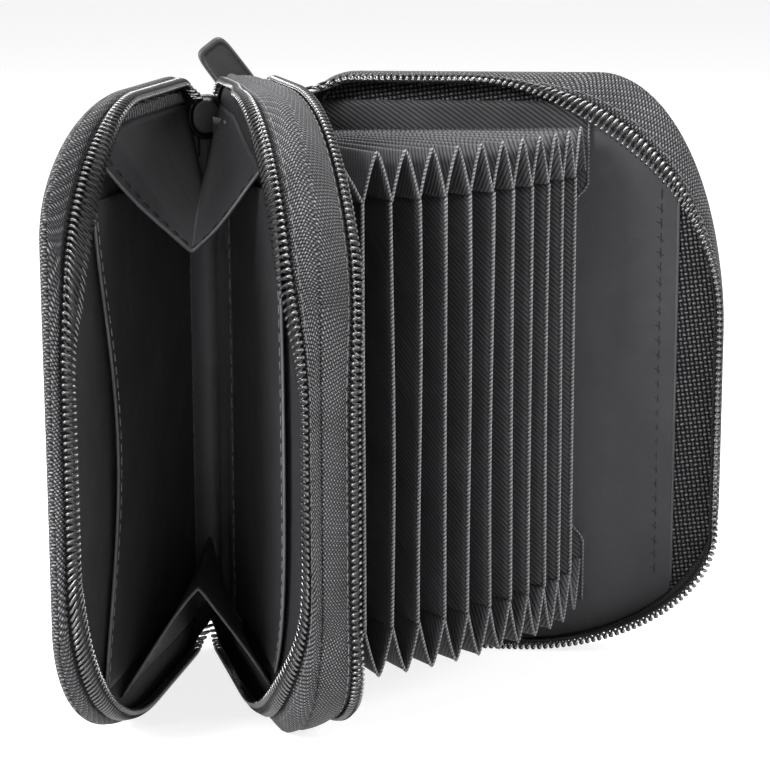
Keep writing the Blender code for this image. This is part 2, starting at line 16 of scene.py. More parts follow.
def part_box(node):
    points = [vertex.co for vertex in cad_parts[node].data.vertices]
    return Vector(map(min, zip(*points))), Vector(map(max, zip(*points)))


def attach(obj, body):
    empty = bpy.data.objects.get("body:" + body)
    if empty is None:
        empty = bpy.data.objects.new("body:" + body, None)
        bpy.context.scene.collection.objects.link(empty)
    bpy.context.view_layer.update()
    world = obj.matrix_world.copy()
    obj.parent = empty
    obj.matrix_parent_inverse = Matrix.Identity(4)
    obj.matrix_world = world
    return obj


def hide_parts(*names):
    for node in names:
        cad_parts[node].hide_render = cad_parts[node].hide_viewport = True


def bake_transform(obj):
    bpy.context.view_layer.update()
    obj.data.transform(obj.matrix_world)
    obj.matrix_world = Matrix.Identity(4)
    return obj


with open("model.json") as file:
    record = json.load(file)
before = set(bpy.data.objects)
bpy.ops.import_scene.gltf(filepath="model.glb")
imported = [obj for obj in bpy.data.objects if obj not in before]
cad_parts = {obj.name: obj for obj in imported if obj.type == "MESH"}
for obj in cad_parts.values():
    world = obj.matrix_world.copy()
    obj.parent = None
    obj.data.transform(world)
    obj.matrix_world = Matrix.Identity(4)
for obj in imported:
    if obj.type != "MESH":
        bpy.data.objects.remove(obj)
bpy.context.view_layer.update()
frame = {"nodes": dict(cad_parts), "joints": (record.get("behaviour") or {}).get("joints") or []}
MM = 0.001

# The floor and the studio. The wallet stands on a pale sheet that runs on into white, under five soft
# lamps. The camera sees the sheet and the room brighter than the light that they give the wallet.
FLOOR_WHITE = 0.90
FLOOR_GLOW = 0.60
FLOOR_GLOW_STRENGTH = 1.36
FLOOR_REACH = 3.0
ROOM_LIGHT = 0.17
LAMPS = {"lamp_left": ((-0.72, -0.42, 0.50), 0.30, 15.0),
         "lamp_front": ((-0.10, -0.75, 0.25), 0.20, 0.5),
         "lamp_rim": ((-0.90, 0.25, 0.28), 0.30, 11.0),
         "lamp_right": ((0.75, -0.40, 0.45), 0.30, 7.0),
         "lamp_over": ((0.05, 0.15, 0.90), 0.50, 16.0)}
LAMP_AIM = Vector((0, 0, 0.06))
CAMERA_PLACE = (-0.0828, -0.4306, 0.1519)
CAMERA_AZIMUTH = 14.02
CAMERA_PITCH = -11.98
CAMERA_ROLL = -0.15
CAMERA_LENS = 111.6


class Thread:
    """A socket in a material, on which arithmetic adds Math nodes. node() adds any other node."""

    def __init__(self, tree, socket=None):
        self.tree = tree
        self.socket = socket

    def node(self, kind, settings=None, values=None, output=0):
        """A node of a type: its settings, then its sockets' values or links. The Thread holds one output."""
        made = self.tree.nodes.new("ShaderNode" + kind)
        for name, setting in (settings or {}).items():
            setattr(made, name, setting)
        for name, value in (values or {}).items():
            if isinstance(value, Thread):
                self.tree.links.new(value.socket, made.inputs[name])
            else:
                made.inputs[name].default_value = value
        return Thread(self.tree, made.outputs[output])

    def math(self, operation, *values):
        """A Math node of an operation on numbers or Threads."""
        return self.node("Math", {"operation": operation}, dict(enumerate(values)))

    def __add__(self, other):
        return self.math("ADD", self, other)

    __radd__ = __add__

    def __sub__(self, other):
        return self.math("SUBTRACT", self, other)

    def __rsub__(self, other):
        return self.math("SUBTRACT", other, self)

    def __mul__(self, other):
        return self.math("MULTIPLY", self, other)

    __rmul__ = __mul__

    def __truediv__(self, other):
        return self.math("DIVIDE", self, other)

    def __pow__(self, other):
        return self.math("POWER", self, other)

    def hump(self):
        """1 in the middle of each whole step of the value, 0 at its ends: 1 - (2 fraction - 1)^2."""
        side = self.math("FRACT", self) * 2.0 - 1.0
        return 1.0 - side * side

    def noise(self, scale, detail=2.0, rough=0.5):
        """Soft noise about 0.5 on the piece's own place, in lumps per metre."""
        place = self.node("TexCoord", output=3)
        values = {"Vector": place, "Scale": scale, "Detail": detail, "Roughness": rough}
        return self.node("TexNoise", None, values)

    def cloth(self):
        """Lengths along and across the cloth in millimetres, from its UV map."""
        flat = self.node("UVMap", {"uv_map": "UVMap"})
        return [self.node("SeparateXYZ", None, {0: flat}, axis) * 1000.0 for axis in (0, 1)]

    def seen(self):
        """1 for what the camera sees, straight, in a gloss or through something clear."""
        rays = self.node("LightPath")
        outputs = rays.socket.node.outputs
        gloss = Thread(self.tree, outputs["Is Glossy Ray"])
        through = Thread(self.tree, outputs["Is Transmission Ray"])
        return self.math("MAXIMUM", rays + gloss, through)

    def mix(self, share, low, high):
        """A colour between two, by a share."""
        return self.node("Mix", {"data_type": "RGBA"}, {0: share, 6: (*low, 1), 7: (*high, 1)}, 2)

    def bump(self, height, depth, under=None, strength=1.0):
        """A bump from a height between 0 and 1 and a depth in millimetres, over another bump."""
        values = {"Height": height, "Distance": depth * MM, "Strength": strength}
        if under is not None:
            values["Normal"] = under
        return self.node("Bump", None, values)


def material(name):
    """An empty node material, and a Thread in it."""
    made = bpy.data.materials.new(name)
    made.use_nodes = True
    return made, Thread(made.node_tree)


def surface(made, thread, values):
    """Sets the Principled surface's sockets, by name."""
    principled = made.node_tree.nodes["Principled BSDF"]
    for name, value in values.items():
        if isinstance(value, Thread):
            thread.tree.links.new(value.socket, principled.inputs[name])
        else:
            principled.inputs[name].default_value = value
    return made


def floor_sheet():
    """A matt white that the camera sees a little brighter than the lamps leave it."""
    made, thread = material("floor_sheet")
    surface(made, thread, {"Base Color": (FLOOR_WHITE, FLOOR_WHITE, FLOOR_WHITE, 1), "Roughness": 0.9})
    nodes = thread.tree.nodes
    lit = Thread(thread.tree, nodes["Principled BSDF"].outputs[0])
    glow = thread.node("Emission", None, {"Color": (1, 1, 1, 1), "Strength": FLOOR_GLOW_STRENGTH})
    both = thread.node("MixShader", None, {0: thread.seen() * FLOOR_GLOW, 1: lit, 2: glow})
    thread.tree.links.new(both.socket, nodes["Material Output"].inputs[0])
    return made


sheet = bpy.data.meshes.new("floor")
sheet.from_pydata([(x * FLOOR_REACH, y * FLOOR_REACH, 0) for x, y in ((-1, -1), (1, -1), (1, 1), (-1, 1))],
                  [], [(0, 1, 2, 3)])
sheet.materials.append(floor_sheet())
floor = bpy.data.objects.new("floor", sheet)
bpy.context.scene.collection.objects.link(floor)

world = bpy.data.worlds.new("studio")
bpy.context.scene.world = world
world.use_nodes = True
room = Thread(world.node_tree)
strength = room.node("MapRange", None, {"Value": room.seen(), "To Min": ROOM_LIGHT, "To Max": 1.0})
background = world.node_tree.nodes["Background"]
background.inputs["Color"].default_value = (1, 1, 1, 1)
world.node_tree.links.new(strength.socket, background.inputs["Strength"])

for name, (place, size, power) in LAMPS.items():
    lamp = bpy.data.objects.new(name, bpy.data.lights.new(name, "AREA"))
    lamp.data.size = size
    lamp.data.energy = power
    lamp.location = place
    lamp.rotation_euler = (LAMP_AIM - lamp.location).to_track_quat("-Z", "Y").to_euler()
    bpy.context.scene.collection.objects.link(lamp)

azimuth, pitch = math.radians(CAMERA_AZIMUTH), math.radians(CAMERA_PITCH)
ahead = Vector((math.sin(azimuth) * math.cos(pitch), math.cos(azimuth) * math.cos(pitch), math.sin(pitch)))
camera = bpy.data.objects.new("camera", bpy.data.cameras.new("camera"))
camera.data.lens = CAMERA_LENS
camera.matrix_world = (Matrix.Translation(CAMERA_PLACE) @ ahead.to_track_quat("-Z", "Y").to_matrix().to_4x4()
                       @ Matrix.Rotation(math.radians(CAMERA_ROLL), 4, "Z"))
bpy.context.scene.collection.objects.link(camera)
bpy.context.scene.camera = camera
bpy.context.scene.view_settings.view_transform = "Standard"

# Covers and partition, the outsides. Each tray is a stiff panel in coarse woven oxford, which turns over its
# edge and runs out as a side strip to the zip. At the spine the strips bend softly round to the partition.
joints = {joint["name"]: joint for joint in frame["joints"]}
SEAM_LOW, SEAM_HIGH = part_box("partition_seam_tape")
HEIGHT = SEAM_HIGH.z
SPINE_Y = SEAM_HIGH.y
DEPTH = SEAM_HIGH.y - SEAM_LOW.y
PARTITION_ROUND = ((32 * MM, 32 * MM), (32 * MM, 32 * MM))
COIN_COVER_ROUND = ((44 * MM, 20 * MM), (47 * MM, 27 * MM))
CARD_COVER_ROUND = ((25 * MM, 51 * MM), (42 * MM, 31 * MM))
COIN_RIM = ((43 * MM, 43 * MM), (46 * MM, 36 * MM))
CARD_RIM = ((50 * MM, 48 * MM), (40 * MM, 25 * MM))
REAR_ROUND = 10 * MM
WRAP = 8 * MM
WRAP_STEPS, REAR_STEPS, SIDE_STEPS, CORNER_STEPS = 3, 13, 22, 37
SKIN_INSET = -0.25 * MM
BEND_SHARES = (0.03, 0.97)
COIN_INNER, COIN_OUTER = 4.0 * MM, 4.0 * MM
CARD_INNER, CARD_OUTER = 8.0 * MM, 6.7 * MM
RIM_INSET = 1.35 * MM
PARTITION_SEAM = 0.7 * MM
FOOT_STEPS = 4000
FOOT_WINDOW = 43
SOFT_FROM = 7 * MM
SOFT_LENGTH = {"coin_cover": 7 * MM, "card_cover": 9 * MM}
SOFT_SIDE = 0.8
COIN_UPRIGHT = 0.32
COIN_WAIST, CARD_WAIST, COIN_REAR = 0.47, 0.19, 0.45
WAIST_TOP, WAIST_TOP_FADE = 92 * MM, 28 * MM
WAIST_FOOT, WAIST_FOOT_FADE = 8 * MM, 22 * MM
REAR_FRONT, REAR_FRONT_FADE = 40 * MM, 18 * MM
REAR_FOOT, REAR_FOOT_FADE = 30 * MM, 40 * MM
CLOSE_FROM, CLOSE_FADE = 8 * MM, 6 * MM
BOTTOM_CLOSE, BOTTOM_CLOSE_FROM, BOTTOM_CLOSE_FADE = 1.4, 9 * MM, 7 * MM
SKIN_CROWN = 0.35 * MM
SKIN_ROUND = 1.6 * MM
SKIN_THICK = 0.6 * MM
SKIN_LUMPS = 0.15 * MM
STRIP_THICK = 0.55 * MM
STRIP_BULGE = 0.55 * MM
STRIP_LIFT = 0.15 * MM
STRIP_FLOOR = 0.15 * MM
STRIP_START = -0.06
SEAM_GROOVE = 0.9 * MM
TAPE_THICK = 0.35 * MM
TAPE_SHOWN = 0.1 * MM
TAPE_UNDER = 0.12
TAPE_PAST = 0.25 * MM
TAPE_CLOSING = 0.5 * MM
COIL_SEAT = 0.95 * MM


def ease(t):
    """A smooth step from 0 to 1: 3t^2 - 2t^3."""
    t = np.clip(t, 0, 1)
    return t * t * (3 - 2 * t)


def unease(w):
    """The t whose smooth step is w."""
    return 0.5 - np.sin(np.arcsin(np.clip(1 - 2 * np.asarray(w), -1, 1)) / 3)


def together(*parts):
    """Points from their separate coordinates, which are stretched to one shape."""
    return np.stack(np.broadcast_arrays(*parts), -1)


class Tray:
    """A tray's body, its hinge in world metres, the angle it stands open at and its panel's corners."""

    def __init__(self, body, pivot, turn, corners):
        self.body = body
        self.pivot = pivot
        self.turn = math.radians(turn)
        self.corners = corners

    def stand(self, across, s, z, share=1.0):
        """World points of shut coordinates, turned about the hinge by a share of the tray's angle."""
        turn = self.turn * np.asarray(share)
        x = self.pivot[0] + across * np.cos(turn) + s * np.sin(turn)
        y = self.pivot[1] + across * np.sin(turn) - s * np.cos(turn)
        return together(x, y, z)

    def facing(self, sign):
        """The world direction square to the panel, towards more across for 1 and towards less for -1."""
        return self.stand(sign, 0, 0) - self.stand(0, 0, 0)


coin_hinge, card_hinge = joints["coin_cover_hinge"], joints["card_cover_hinge"]
coin_cover = Tray("coin_cover", coin_hinge["pos_m"], -coin_hinge["range_deg"][1], COIN_COVER_ROUND)
card_cover = Tray("card_cover", card_hinge["pos_m"], -card_hinge["range_deg"][0], CARD_COVER_ROUND)
partition = Tray("partition", (0, SPINE_Y, 0), 0, PARTITION_ROUND)


def unit(vectors):
    """Vectors at a length of 1."""
    return vectors / np.maximum(np.linalg.norm(vectors, axis=-1, keepdims=True), 1e-12)


def run_along(points, axis=0):
    """How far each point lies along its line from the first. The line runs down an axis."""
    steps = np.linalg.norm(np.diff(points, axis=axis), axis=-1)
    return np.insert(np.cumsum(steps, axis), 0, 0.0, axis)


def follow(places, run, table):
    """A table's rows at places along its run, worked out between them."""
    return np.stack([np.interp(places, run, table[:, k]) for k in range(table.shape[1])], -1)


def kernel(size):
    """Weights that smooth by a raised cosine and sum to 1."""
    window = np.hanning(size)[1:-1]
    return window / window.sum()


def squares(index):
    """The four-sided faces of a grid of vertex numbers, in its last two axes."""
    return np.stack([index[..., :-1, :-1], index[..., :-1, 1:], index[..., 1:, 1:], index[..., 1:, :-1]],
                    -1).reshape(-1, 4)


def mesh_piece(name, points, quads, ends, flat, stuff):
    """An object from vertices, four-sided faces and end faces, with its cloth lengths as the UV map."""
    mesh = bpy.data.meshes.new(name)
    mesh.from_pydata(points.tolist(), [], quads.tolist() + ends)
    order = np.empty(len(mesh.loops), int)
    mesh.loops.foreach_get("vertex_index", order)
    layer = mesh.uv_layers.new(name="UVMap")
    layer.data.foreach_set("uv", flat[order].astype(np.float32).ravel())
    mesh.polygons.foreach_set("use_smooth", np.ones(len(mesh.polygons), bool))
    mesh.materials.append(stuff)
    piece = bpy.data.objects.new(name, mesh)
    bpy.context.scene.collection.objects.link(piece)
    return piece


def thicken(piece, thick):
    """Gives a sheet its thickness, on its back."""
    wall = piece.modifiers.new("thickness", "SOLIDIFY")
    wall.thickness = thick
    wall.offset = -1.0


def cloth_piece(name, points, flat, stuff, facing, thick, around=False, middle=False):
    """A sheet over a grid (rows, columns, 3) that gains its thickness on its back.
    """
    rows, columns = points.shape[:2]
    index = np.arange(rows * columns).reshape(rows, columns)
    if around:
        index = np.hstack([index, index[:, :1]])
    quads = squares(index)
    spread = points.reshape(-1, 3)
    corners = spread[quads]
    normals = np.cross(corners[:, 2] - corners[:, 0], corners[:, 3] - corners[:, 1])
    flip = (normals.sum(0) @ np.array(facing)) < 0
    if flip:
        quads = quads[:, ::-1]
    ends = []
    if middle:
        ring = list(range(columns))
        ends = [ring if flip else ring[::-1]]
    piece = mesh_piece(name, spread, quads, ends, flat.reshape(-1, 2), stuff)
    if thick:
        thicken(piece, thick)
    return piece


def fasten(piece, body, node=None):
    """Sets the body that a piece rides and hides the CAD node that it takes the place of."""
    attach(piece, body)
    if node:
        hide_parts(node)


def bend(piece, points, share):
    """Fits a line to the share that each point should turn by, which is not used, and bakes the piece's
    place into its mesh.
    """
    share = np.broadcast_to(share, points.shape[:-1]).ravel()
    soft = (share > BEND_SHARES[0]) & (share < BEND_SHARES[1])
    place = points.reshape(-1, 3)[soft]
    table = np.column_stack([place[:, :2], np.ones(len(place))])
    fit, *_ = np.linalg.lstsq(table, unease(share[soft]), rcond=None)
    slope = fit[:2]
    middle = place.mean(0)
    level = middle[:2] @ slope + fit[2]
    start = middle[:2] - slope * level / (slope @ slope)
    end = start + slope / (slope @ slope)
    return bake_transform(piece)


def arc(centre, radii, first, last, steps):
    """An ellipse's points: centre + radii (cos a, sin a), a even between two angles."""
    angle = np.radians(np.linspace(first, last, steps))
    return np.stack([centre[0] + radii[0] * np.cos(angle), centre[1] + radii[1] * np.sin(angle)], -1)


def between(first, last, steps):
    """Even points between two, without them."""
    share = (np.arange(steps) + 1)[:, None] / (steps + 1)
    return np.array(first) * (1 - share) + np.array(last) * share


def edge(panel_round, rim_round, share=0.0, inset=0.0):
    """A tray's edge as (s, z) from the spine's top round to its bottom, at a share of a strip's width.

    Straights and quarter ellipses. The front corners' radii go from the panel's to the rim's with the
    share.
    """
    top, low = np.array(panel_round) * (1 - share) + np.array(rim_round) * share
    rear = (REAR_ROUND - inset, REAR_ROUND - inset)
    roof, front = HEIGHT - inset, DEPTH - inset
    return np.concatenate([
        between((inset, HEIGHT - REAR_ROUND - WRAP), (inset, HEIGHT - REAR_ROUND), WRAP_STEPS),
        arc((REAR_ROUND, HEIGHT - REAR_ROUND), rear, 180, 90, REAR_STEPS),
        between((REAR_ROUND, roof), (DEPTH - top[0], roof), SIDE_STEPS),
        arc((DEPTH - top[0], HEIGHT - top[1]), top - inset, 90, 0, CORNER_STEPS),
        between((front, HEIGHT - top[1]), (front, low[1]), SIDE_STEPS),
        arc((DEPTH - low[0], low[1]), low - inset, 0, -90, CORNER_STEPS),
        between((DEPTH - low[0], inset), (REAR_ROUND, inset), SIDE_STEPS),
        arc((REAR_ROUND, REAR_ROUND), rear, 270, 180, REAR_STEPS),
        between((inset, REAR_ROUND), (inset, REAR_ROUND + WRAP), WRAP_STEPS)])


class Strip:
    """A tray's side, from its panel's edge to the zip rim. Its points go by run, width share and lift."""

    def __init__(self, tray, base, rim, rim_round, upright=0.0, waist=0.0, rear=0.0):
        self.tray = tray
        self.base = base
        self.rim = rim
        self.wall = abs(rim - base)
        self.hem = 1 - (TAPE_SHOWN + COIL_SEAT) / self.wall
        self.upright = upright
        self.waist = waist
        self.rear = rear
        self.high = edge(tray.corners, rim_round, 1.0, RIM_INSET)
        self.low = self.foot(edge(tray.corners, rim_round))
        self.run = run_along(self.high)
        level = np.zeros(len(self.low))
        out = unit(np.column_stack([level + (rim - base), self.high - self.low]))
        along = unit(np.column_stack([level, np.gradient(self.high, axis=0)]))
        away = np.cross(along, out)
        place = np.column_stack([level, self.high])
        middle = np.array([0, DEPTH / 2, HEIGHT / 2])
        self.away = away * np.sign(((place - middle) * away).sum(-1))[:, None]

    def foot(self, panel_edge):
        """The panel edge's points that the rim's stand over: the nearest ones, evened out along the edge."""
        fine = follow(np.linspace(0, len(panel_edge) - 1, FOOT_STEPS), range(len(panel_edge)), panel_edge)
        nearest = ((self.high[:, None] - fine[None]) ** 2).sum(-1).argmin(1)
        padded = np.pad(nearest, FOOT_WINDOW // 2 - 1, "reflect", reflect_type="odd")
        even = np.convolve(padded, kernel(FOOT_WINDOW), "valid")
        return fine[np.clip(even.round().astype(int), 0, len(fine) - 1)]

    def at(self, run, width, lift=0.0):
        """Shut (across, s, z) points: lerp(nearest base edge, rim edge, width) + away * lift.

        The edge stays upright over a first part of the width and leans in over the rest. The band is
        narrower by the waist in the middle of the tray's height, where the open zip draws back, and by rear
        next to the spine's top. It lies flat on the floor.
        """
        low, high, away = [follow(run, self.run, table) for table in (self.low, self.high, self.away)]
        width = np.asarray(width)[..., None]
        s, z = high[..., :1], high[..., 1:]
        waist = ease((WAIST_TOP - z) / WAIST_TOP_FADE) * ease((z - WAIST_FOOT) / WAIST_FOOT_FADE)
        behind = ease((REAR_FRONT - s) / REAR_FRONT_FADE) * ease((z - REAR_FOOT) / REAR_FOOT_FADE)
        drawn = self.waist * waist + self.rear * behind
        across = self.base + (self.rim - self.base) * width * (1 - drawn)
        lean = np.maximum(width - self.upright, 0) / (1 - self.upright)
        flat = low * (1 - lean) + high * lean
        points = np.concatenate([np.broadcast_to(across, flat[..., :1].shape), flat], -1)
        points = points + unit(away) * np.asarray(lift)[..., None]
        points[..., 2] = np.maximum(points[..., 2], STRIP_FLOOR)
        return points

    def share(self, run, width):
        """The share of the tray's angle that a point turns by: all at the panel, easing in along the rim."""
        if self.tray is partition:
            return np.zeros(np.shape(run))
        run = np.minimum(run, self.run[-1] - run)
        return ease((run - SOFT_FROM) / SOFT_LENGTH[self.tray.body] + SOFT_SIDE * (1 - np.asarray(width)))

    def world(self, run, width, lift=0.0):
        """The points where the open tray stands, and the share that each has turned by."""
        points = self.at(run, width, lift)
        share = self.share(run, width)
        return self.tray.stand(points[..., 0], points[..., 1], points[..., 2], share), share

    def join(self, piece, points, share):
        """Makes a piece ride the partition, or bakes a cover's piece's place into its mesh."""
        if self.tray is partition:
            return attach(piece, "partition")
        return bend(piece, points, share)

    def cloth(self, name, stuff, first, last, lift, thick, swell=0.0, closing=0.0, groove=0.0):
        """A band of cloth between two width shares, swelling between them by a half sine.

        closing widens it behind, where the zip's two tapes meet. groove sinks its first edge into a seam.
        """
        run, part = np.meshgrid(np.linspace(0, self.run[-1], 260), np.linspace(0, 1, 15) ** 1.6,
                                indexing="ij")
        left = self.run[-1] - run
        behind = 1 - ease((np.minimum(run, left) - CLOSE_FROM) / CLOSE_FADE)
        behind = behind + BOTTOM_CLOSE * (1 - ease((left - BOTTOM_CLOSE_FROM) / BOTTOM_CLOSE_FADE))
        width = first + (last + closing * behind - first) * part
        lift = lift + swell * np.sin(math.pi * part) - groove * (1 - ease(part / 0.12))
        points, share = self.world(run, width, lift)
        piece = cloth_piece(name, points, np.stack([run, width * self.wall], -1), stuff, (0, 0, 0), 0)
        face = piece.data.polygons[len(piece.data.polygons) // 2]
        middle = self.tray.stand(self.base, DEPTH / 2, HEIGHT / 2)
        if face.normal.dot(face.center - Vector(middle.tolist())) < 0:
            piece.data.flip_normals()
        thicken(piece, thick)
        return self.join(piece, points, share)


strips = {"coin_cover": Strip(coin_cover, SKIN_ROUND, COIN_OUTER, COIN_RIM),
          "card_cover": Strip(card_cover, -SKIN_ROUND, -CARD_OUTER, CARD_RIM),
          "partition_coin": Strip(partition, PARTITION_SEAM, -COIN_INNER, COIN_RIM, COIN_UPRIGHT, COIN_WAIST,
                                  COIN_REAR),
          "partition_card": Strip(partition, PARTITION_SEAM, CARD_INNER, CARD_RIM, 0.0, CARD_WAIST)}


def oxford_cloth(name, painted_highlight, width, lean, depth):
    """Coarse plain weave: over(column) or over(row) humps by turns. Its colour follows the humps: the gaps
    are painted dark as shade and the tops painted lighter as a highlight.

    width is a thread's in millimetres, and lean the angle in degrees at which the cloth was cut.
    """
    made, thread = material(name)
    along, across = thread.cloth()
    loose = (thread.noise(900.0) - 0.5) * (width * 0.35)
    cosine, sine = math.cos(math.radians(lean)) / width, math.sin(math.radians(lean)) / width
    column = (along + loose) * cosine + across * sine
    row = (across + loose) * cosine - along * sine
    cell = (thread.math("FLOOR", column) + thread.math("FLOOR", row)) * 0.5
    turn = thread.math("GREATER_THAN", thread.math("FRACT", cell), 0.25)
    round_column, round_row = column.hump(), row.hump()
    first = round_column * (0.55 + 0.45 * round_row)
    second = round_row * (0.55 + 0.45 * round_column)
    height = first + turn * (second - first)
    patch = thread.noise(150.0, 3.0)
    fuzz = thread.noise(3500.0, 1.0)
    share = height ** 4.0 * (patch * 0.8 + fuzz * 0.9) * (0.60 + 0.55 * turn)
    lift = thread.bump(patch, 0.5, thread.bump(height, depth), 0.6)
    # Painted light: the colour runs from painted shade in the gaps to a painted highlight on the thread
    # tops.
    tone = thread.mix(share, (0.0010, 0.0010, 0.0011), painted_highlight)
    return surface(made, thread, {"Base Color": tone, "Roughness": 0.66 - 0.2 * height, "Normal": lift,
                                  "Specular IOR Level": 0.2})


def zip_tape_cloth():
    """Close ribbed tape: a fine herringbone of ribs across its length."""
    made, thread = material("zip_tape_cloth")
    along, across = thread.cloth()
    leaning = thread.math("PINGPONG", across, 0.55)
    ribs = ((along + leaning * 0.9) / 0.42).hump()
    fuzz = thread.noise(4000.0, 1.0)
    tone = thread.mix(ribs * (0.55 + 0.6 * fuzz), (0.0015, 0.0015, 0.0017), (0.016, 0.016, 0.017))
    return surface(made, thread, {"Base Color": tone, "Roughness": 0.72 - 0.1 * ribs,
                                  "Normal": thread.bump(ribs, 0.10), "Specular IOR Level": 0.25})


# The colour given is that of the painted highlight on the thread tops.
OXFORD = oxford_cloth("oxford_cloth", (0.21, 0.21, 0.221), 0.50, 32.0, 0.22)
TAPE = zip_tape_cloth()


def closed_edge(panel_round, rim_round, share=0.0, inset=0.0, start=0.3 * MM):
    """A panel's outline: the tray's edge without its ends on the spine, from a start in front of it."""
    ring = edge(panel_round, rim_round, share, inset)[WRAP_STEPS:-WRAP_STEPS]
    ring = np.concatenate([ring, between(ring[-1], ring[0], 20)])
    ring[:, 0] = start + ring[:, 0] * (DEPTH - inset - start) / (DEPTH - inset)
    return ring


def panel(name, tray, outline, across, inward, stuff, thick, crown=0.0, roll=0.0, rings=14, lumps=0.0):
    """A panel in rings about its middle: middle + (outline - middle) * ring.

    Its face stands at across, swollen away from the tray by crown (1 - ring^4). At its edge it rolls over
    by a quarter circle of radius roll. inward is the sign of across towards the tray's rim.
    """
    ring = np.sin(np.linspace(0.02, 1, rings) * math.pi / 2)[:, None]
    if roll:
        start = 1 - roll / (DEPTH / 2)
        over = start + (1 - start) * np.sin(np.linspace(0, math.pi / 2, 7))[:, None]
        ring = np.concatenate([ring[:-1] * start, over])
    middle = (outline.max(0) + outline.min(0)) / 2
    flat = middle + (outline - middle) * ring[..., None]
    away = crown * (1 - ring ** 4)
    if roll:
        away = away - roll * (1 - np.sqrt(1 - np.clip((ring - start) / (1 - start), 0, 1) ** 2))
    wave = np.sin(flat[..., 0] / (9 * MM) + 1.3 * np.sin(flat[..., 1] / (14 * MM)))
    wave = wave * np.sin(flat[..., 1] / (19 * MM) + flat[..., 0] / (31 * MM))
    away = away + lumps * wave * (1 - ring ** 6)
    points = tray.stand(across - inward * away, flat[..., 0], flat[..., 1])
    facing, held = (-inward, "stretched") if crown >= 0 else (inward, "laid")
    return cloth_piece(name, points, flat, stuff, tray.facing(facing), thick, True, True)


for tray, inward in ((coin_cover, 1), (card_cover, -1)):
    outline = closed_edge(tray.corners, tray.corners, 0.0, SKIN_INSET)
    skin = panel(f"{tray.body}_outer_cloth", tray, outline, 0.0, inward, OXFORD, SKIN_THICK, SKIN_CROWN,
                 SKIN_ROUND, 18, SKIN_LUMPS)
    fasten(skin, tray.body, f"{tray.body}_skin")
for name, strip in strips.items():
    groove = SEAM_GROOVE if strip.tray is partition else 0.0
    side = strip.cloth(f"{name}_strip", OXFORD, STRIP_START, strip.hem, STRIP_LIFT, STRIP_THICK, STRIP_BULGE,
                       groove=groove)
    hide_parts(f"{name}_side")
    tape = strip.cloth(f"{name}_zip_tape", TAPE, strip.hem - TAPE_UNDER, 1 + TAPE_PAST / strip.wall, 0.0,
                       TAPE_THICK, closing=TAPE_CLOSING / strip.wall)

# Zips. A nylon monofilament wound into a flat coil is sewn along each rim, its round heads just past the
# tape's edge. The two halves of a zip meet at the slider on the spine's top and at the stop on its bottom.
COIL_PITCH = 1.2 * MM
COIL_HALF_WIDTH = 0.92 * MM
COIL_HALF_HEIGHT = 0.45 * MM
COIL_WIRE = 0.23 * MM
COIL_STEPS = 14
COIL_LIFT = 0.66 * MM
COIL_PAST = 0.1 * MM
COIL_SEWING = 0.25 * MM
SEWING_RISE = 0.30 * MM
SEWING_REACH = 0.42 * MM
SEWING_SWAY = 0.3 * MM
SEWING_PAST = 0.06 * MM
HALVES = {"coin_cover": "coin_zip_outer_half", "card_cover": "card_zip_outer_half",
          "partition_coin": "coin_zip_inner_half", "partition_card": "card_zip_inner_half"}
HEM_STITCH, HEM_PITCH = 1.6 * MM, 2.2 * MM
HEM_SEWING = 0.14 * MM
HEM_INSET = 0.7 * MM
HEM_LIFT, HEM_RISE = 0.28 * MM, 0.16 * MM


def tubes(name, paths, radius, toward, stuff, sides=6, flatness=1.0):
    """Round strands along paths (count, points, 3): path + radius (cos a * side + flatness sin a * up).

    up is the direction nearest to toward that is square to the path. The ends are closed with a flat face.
    """
    count, rows = paths.shape[:2]
    ahead = unit(np.gradient(paths, axis=1))
    side = unit(np.cross(ahead, np.broadcast_to(toward, paths.shape)))
    up = np.cross(side, ahead)
    angle = 2 * math.pi * np.arange(sides) / sides
    radius = np.broadcast_to(radius, (count, rows))[..., None, None]
    ring = np.cos(angle)[:, None] * side[:, :, None] + flatness * np.sin(angle)[:, None] * up[:, :, None]
    points = paths[:, :, None] + radius * ring
    index = np.arange(count * rows * sides).reshape(count, rows, sides)
    quads = squares(np.concatenate([index, index[:, :, :1]], 2))
    flat = together(run_along(paths, 1)[..., None], angle * radius[..., 0])
    ends = index[:, 0, ::-1].tolist() + index[:, -1].tolist()
    spread = points.reshape(-1, 3)
    first = spread[quads[0]]
    if np.cross(first[2] - first[0], first[3] - first[1]) @ (first.mean(0) - paths[0, :2].mean(0)) < 0:
        quads = quads[:, ::-1]
        ends = [face[::-1] for face in ends]
    return mesh_piece(name, spread, quads, ends, flat.reshape(-1, 2), stuff)


def dashes(first, last, length, pitch, steps=6):
    """Places of even stitches along a run, a row for each stitch."""
    return np.arange(first, last, pitch)[:, None] + np.linspace(0, length, steps)


def nylon_coil():
    """Dyed nylon: near black, shiny, with fine drawn streaks and dust in its hollows."""
    made, thread = material("nylon_coil")
    dust = thread.noise(1400.0, 3.0)
    tone = thread.mix(dust, (0.003, 0.003, 0.0033), (0.020, 0.020, 0.022))
    return surface(made, thread, {"Base Color": tone, "Roughness": 0.22 + 0.14 * dust, "Coat Weight": 1.0,
                                  "Coat Roughness": 0.2, "Specular IOR Level": 1.0,
                                  "Normal": thread.bump(thread.noise(5000.0), 0.02)})


def sewing_thread(name, light):
    """Twisted polyester thread: slanting strands round its length."""
    made, thread = material(name)
    along, across = thread.cloth()
    strand = ((along + across * 0.7) / 0.3).hump()
    tone = thread.mix(strand, (0.13 * light, 0.13 * light, 0.14 * light), (light, light, 1.05 * light))
    return surface(made, thread, {"Base Color": tone, "Roughness": 0.55 + 0.1 * strand,
                                  "Normal": thread.bump(strand, 0.06), "Specular IOR Level": 0.3})


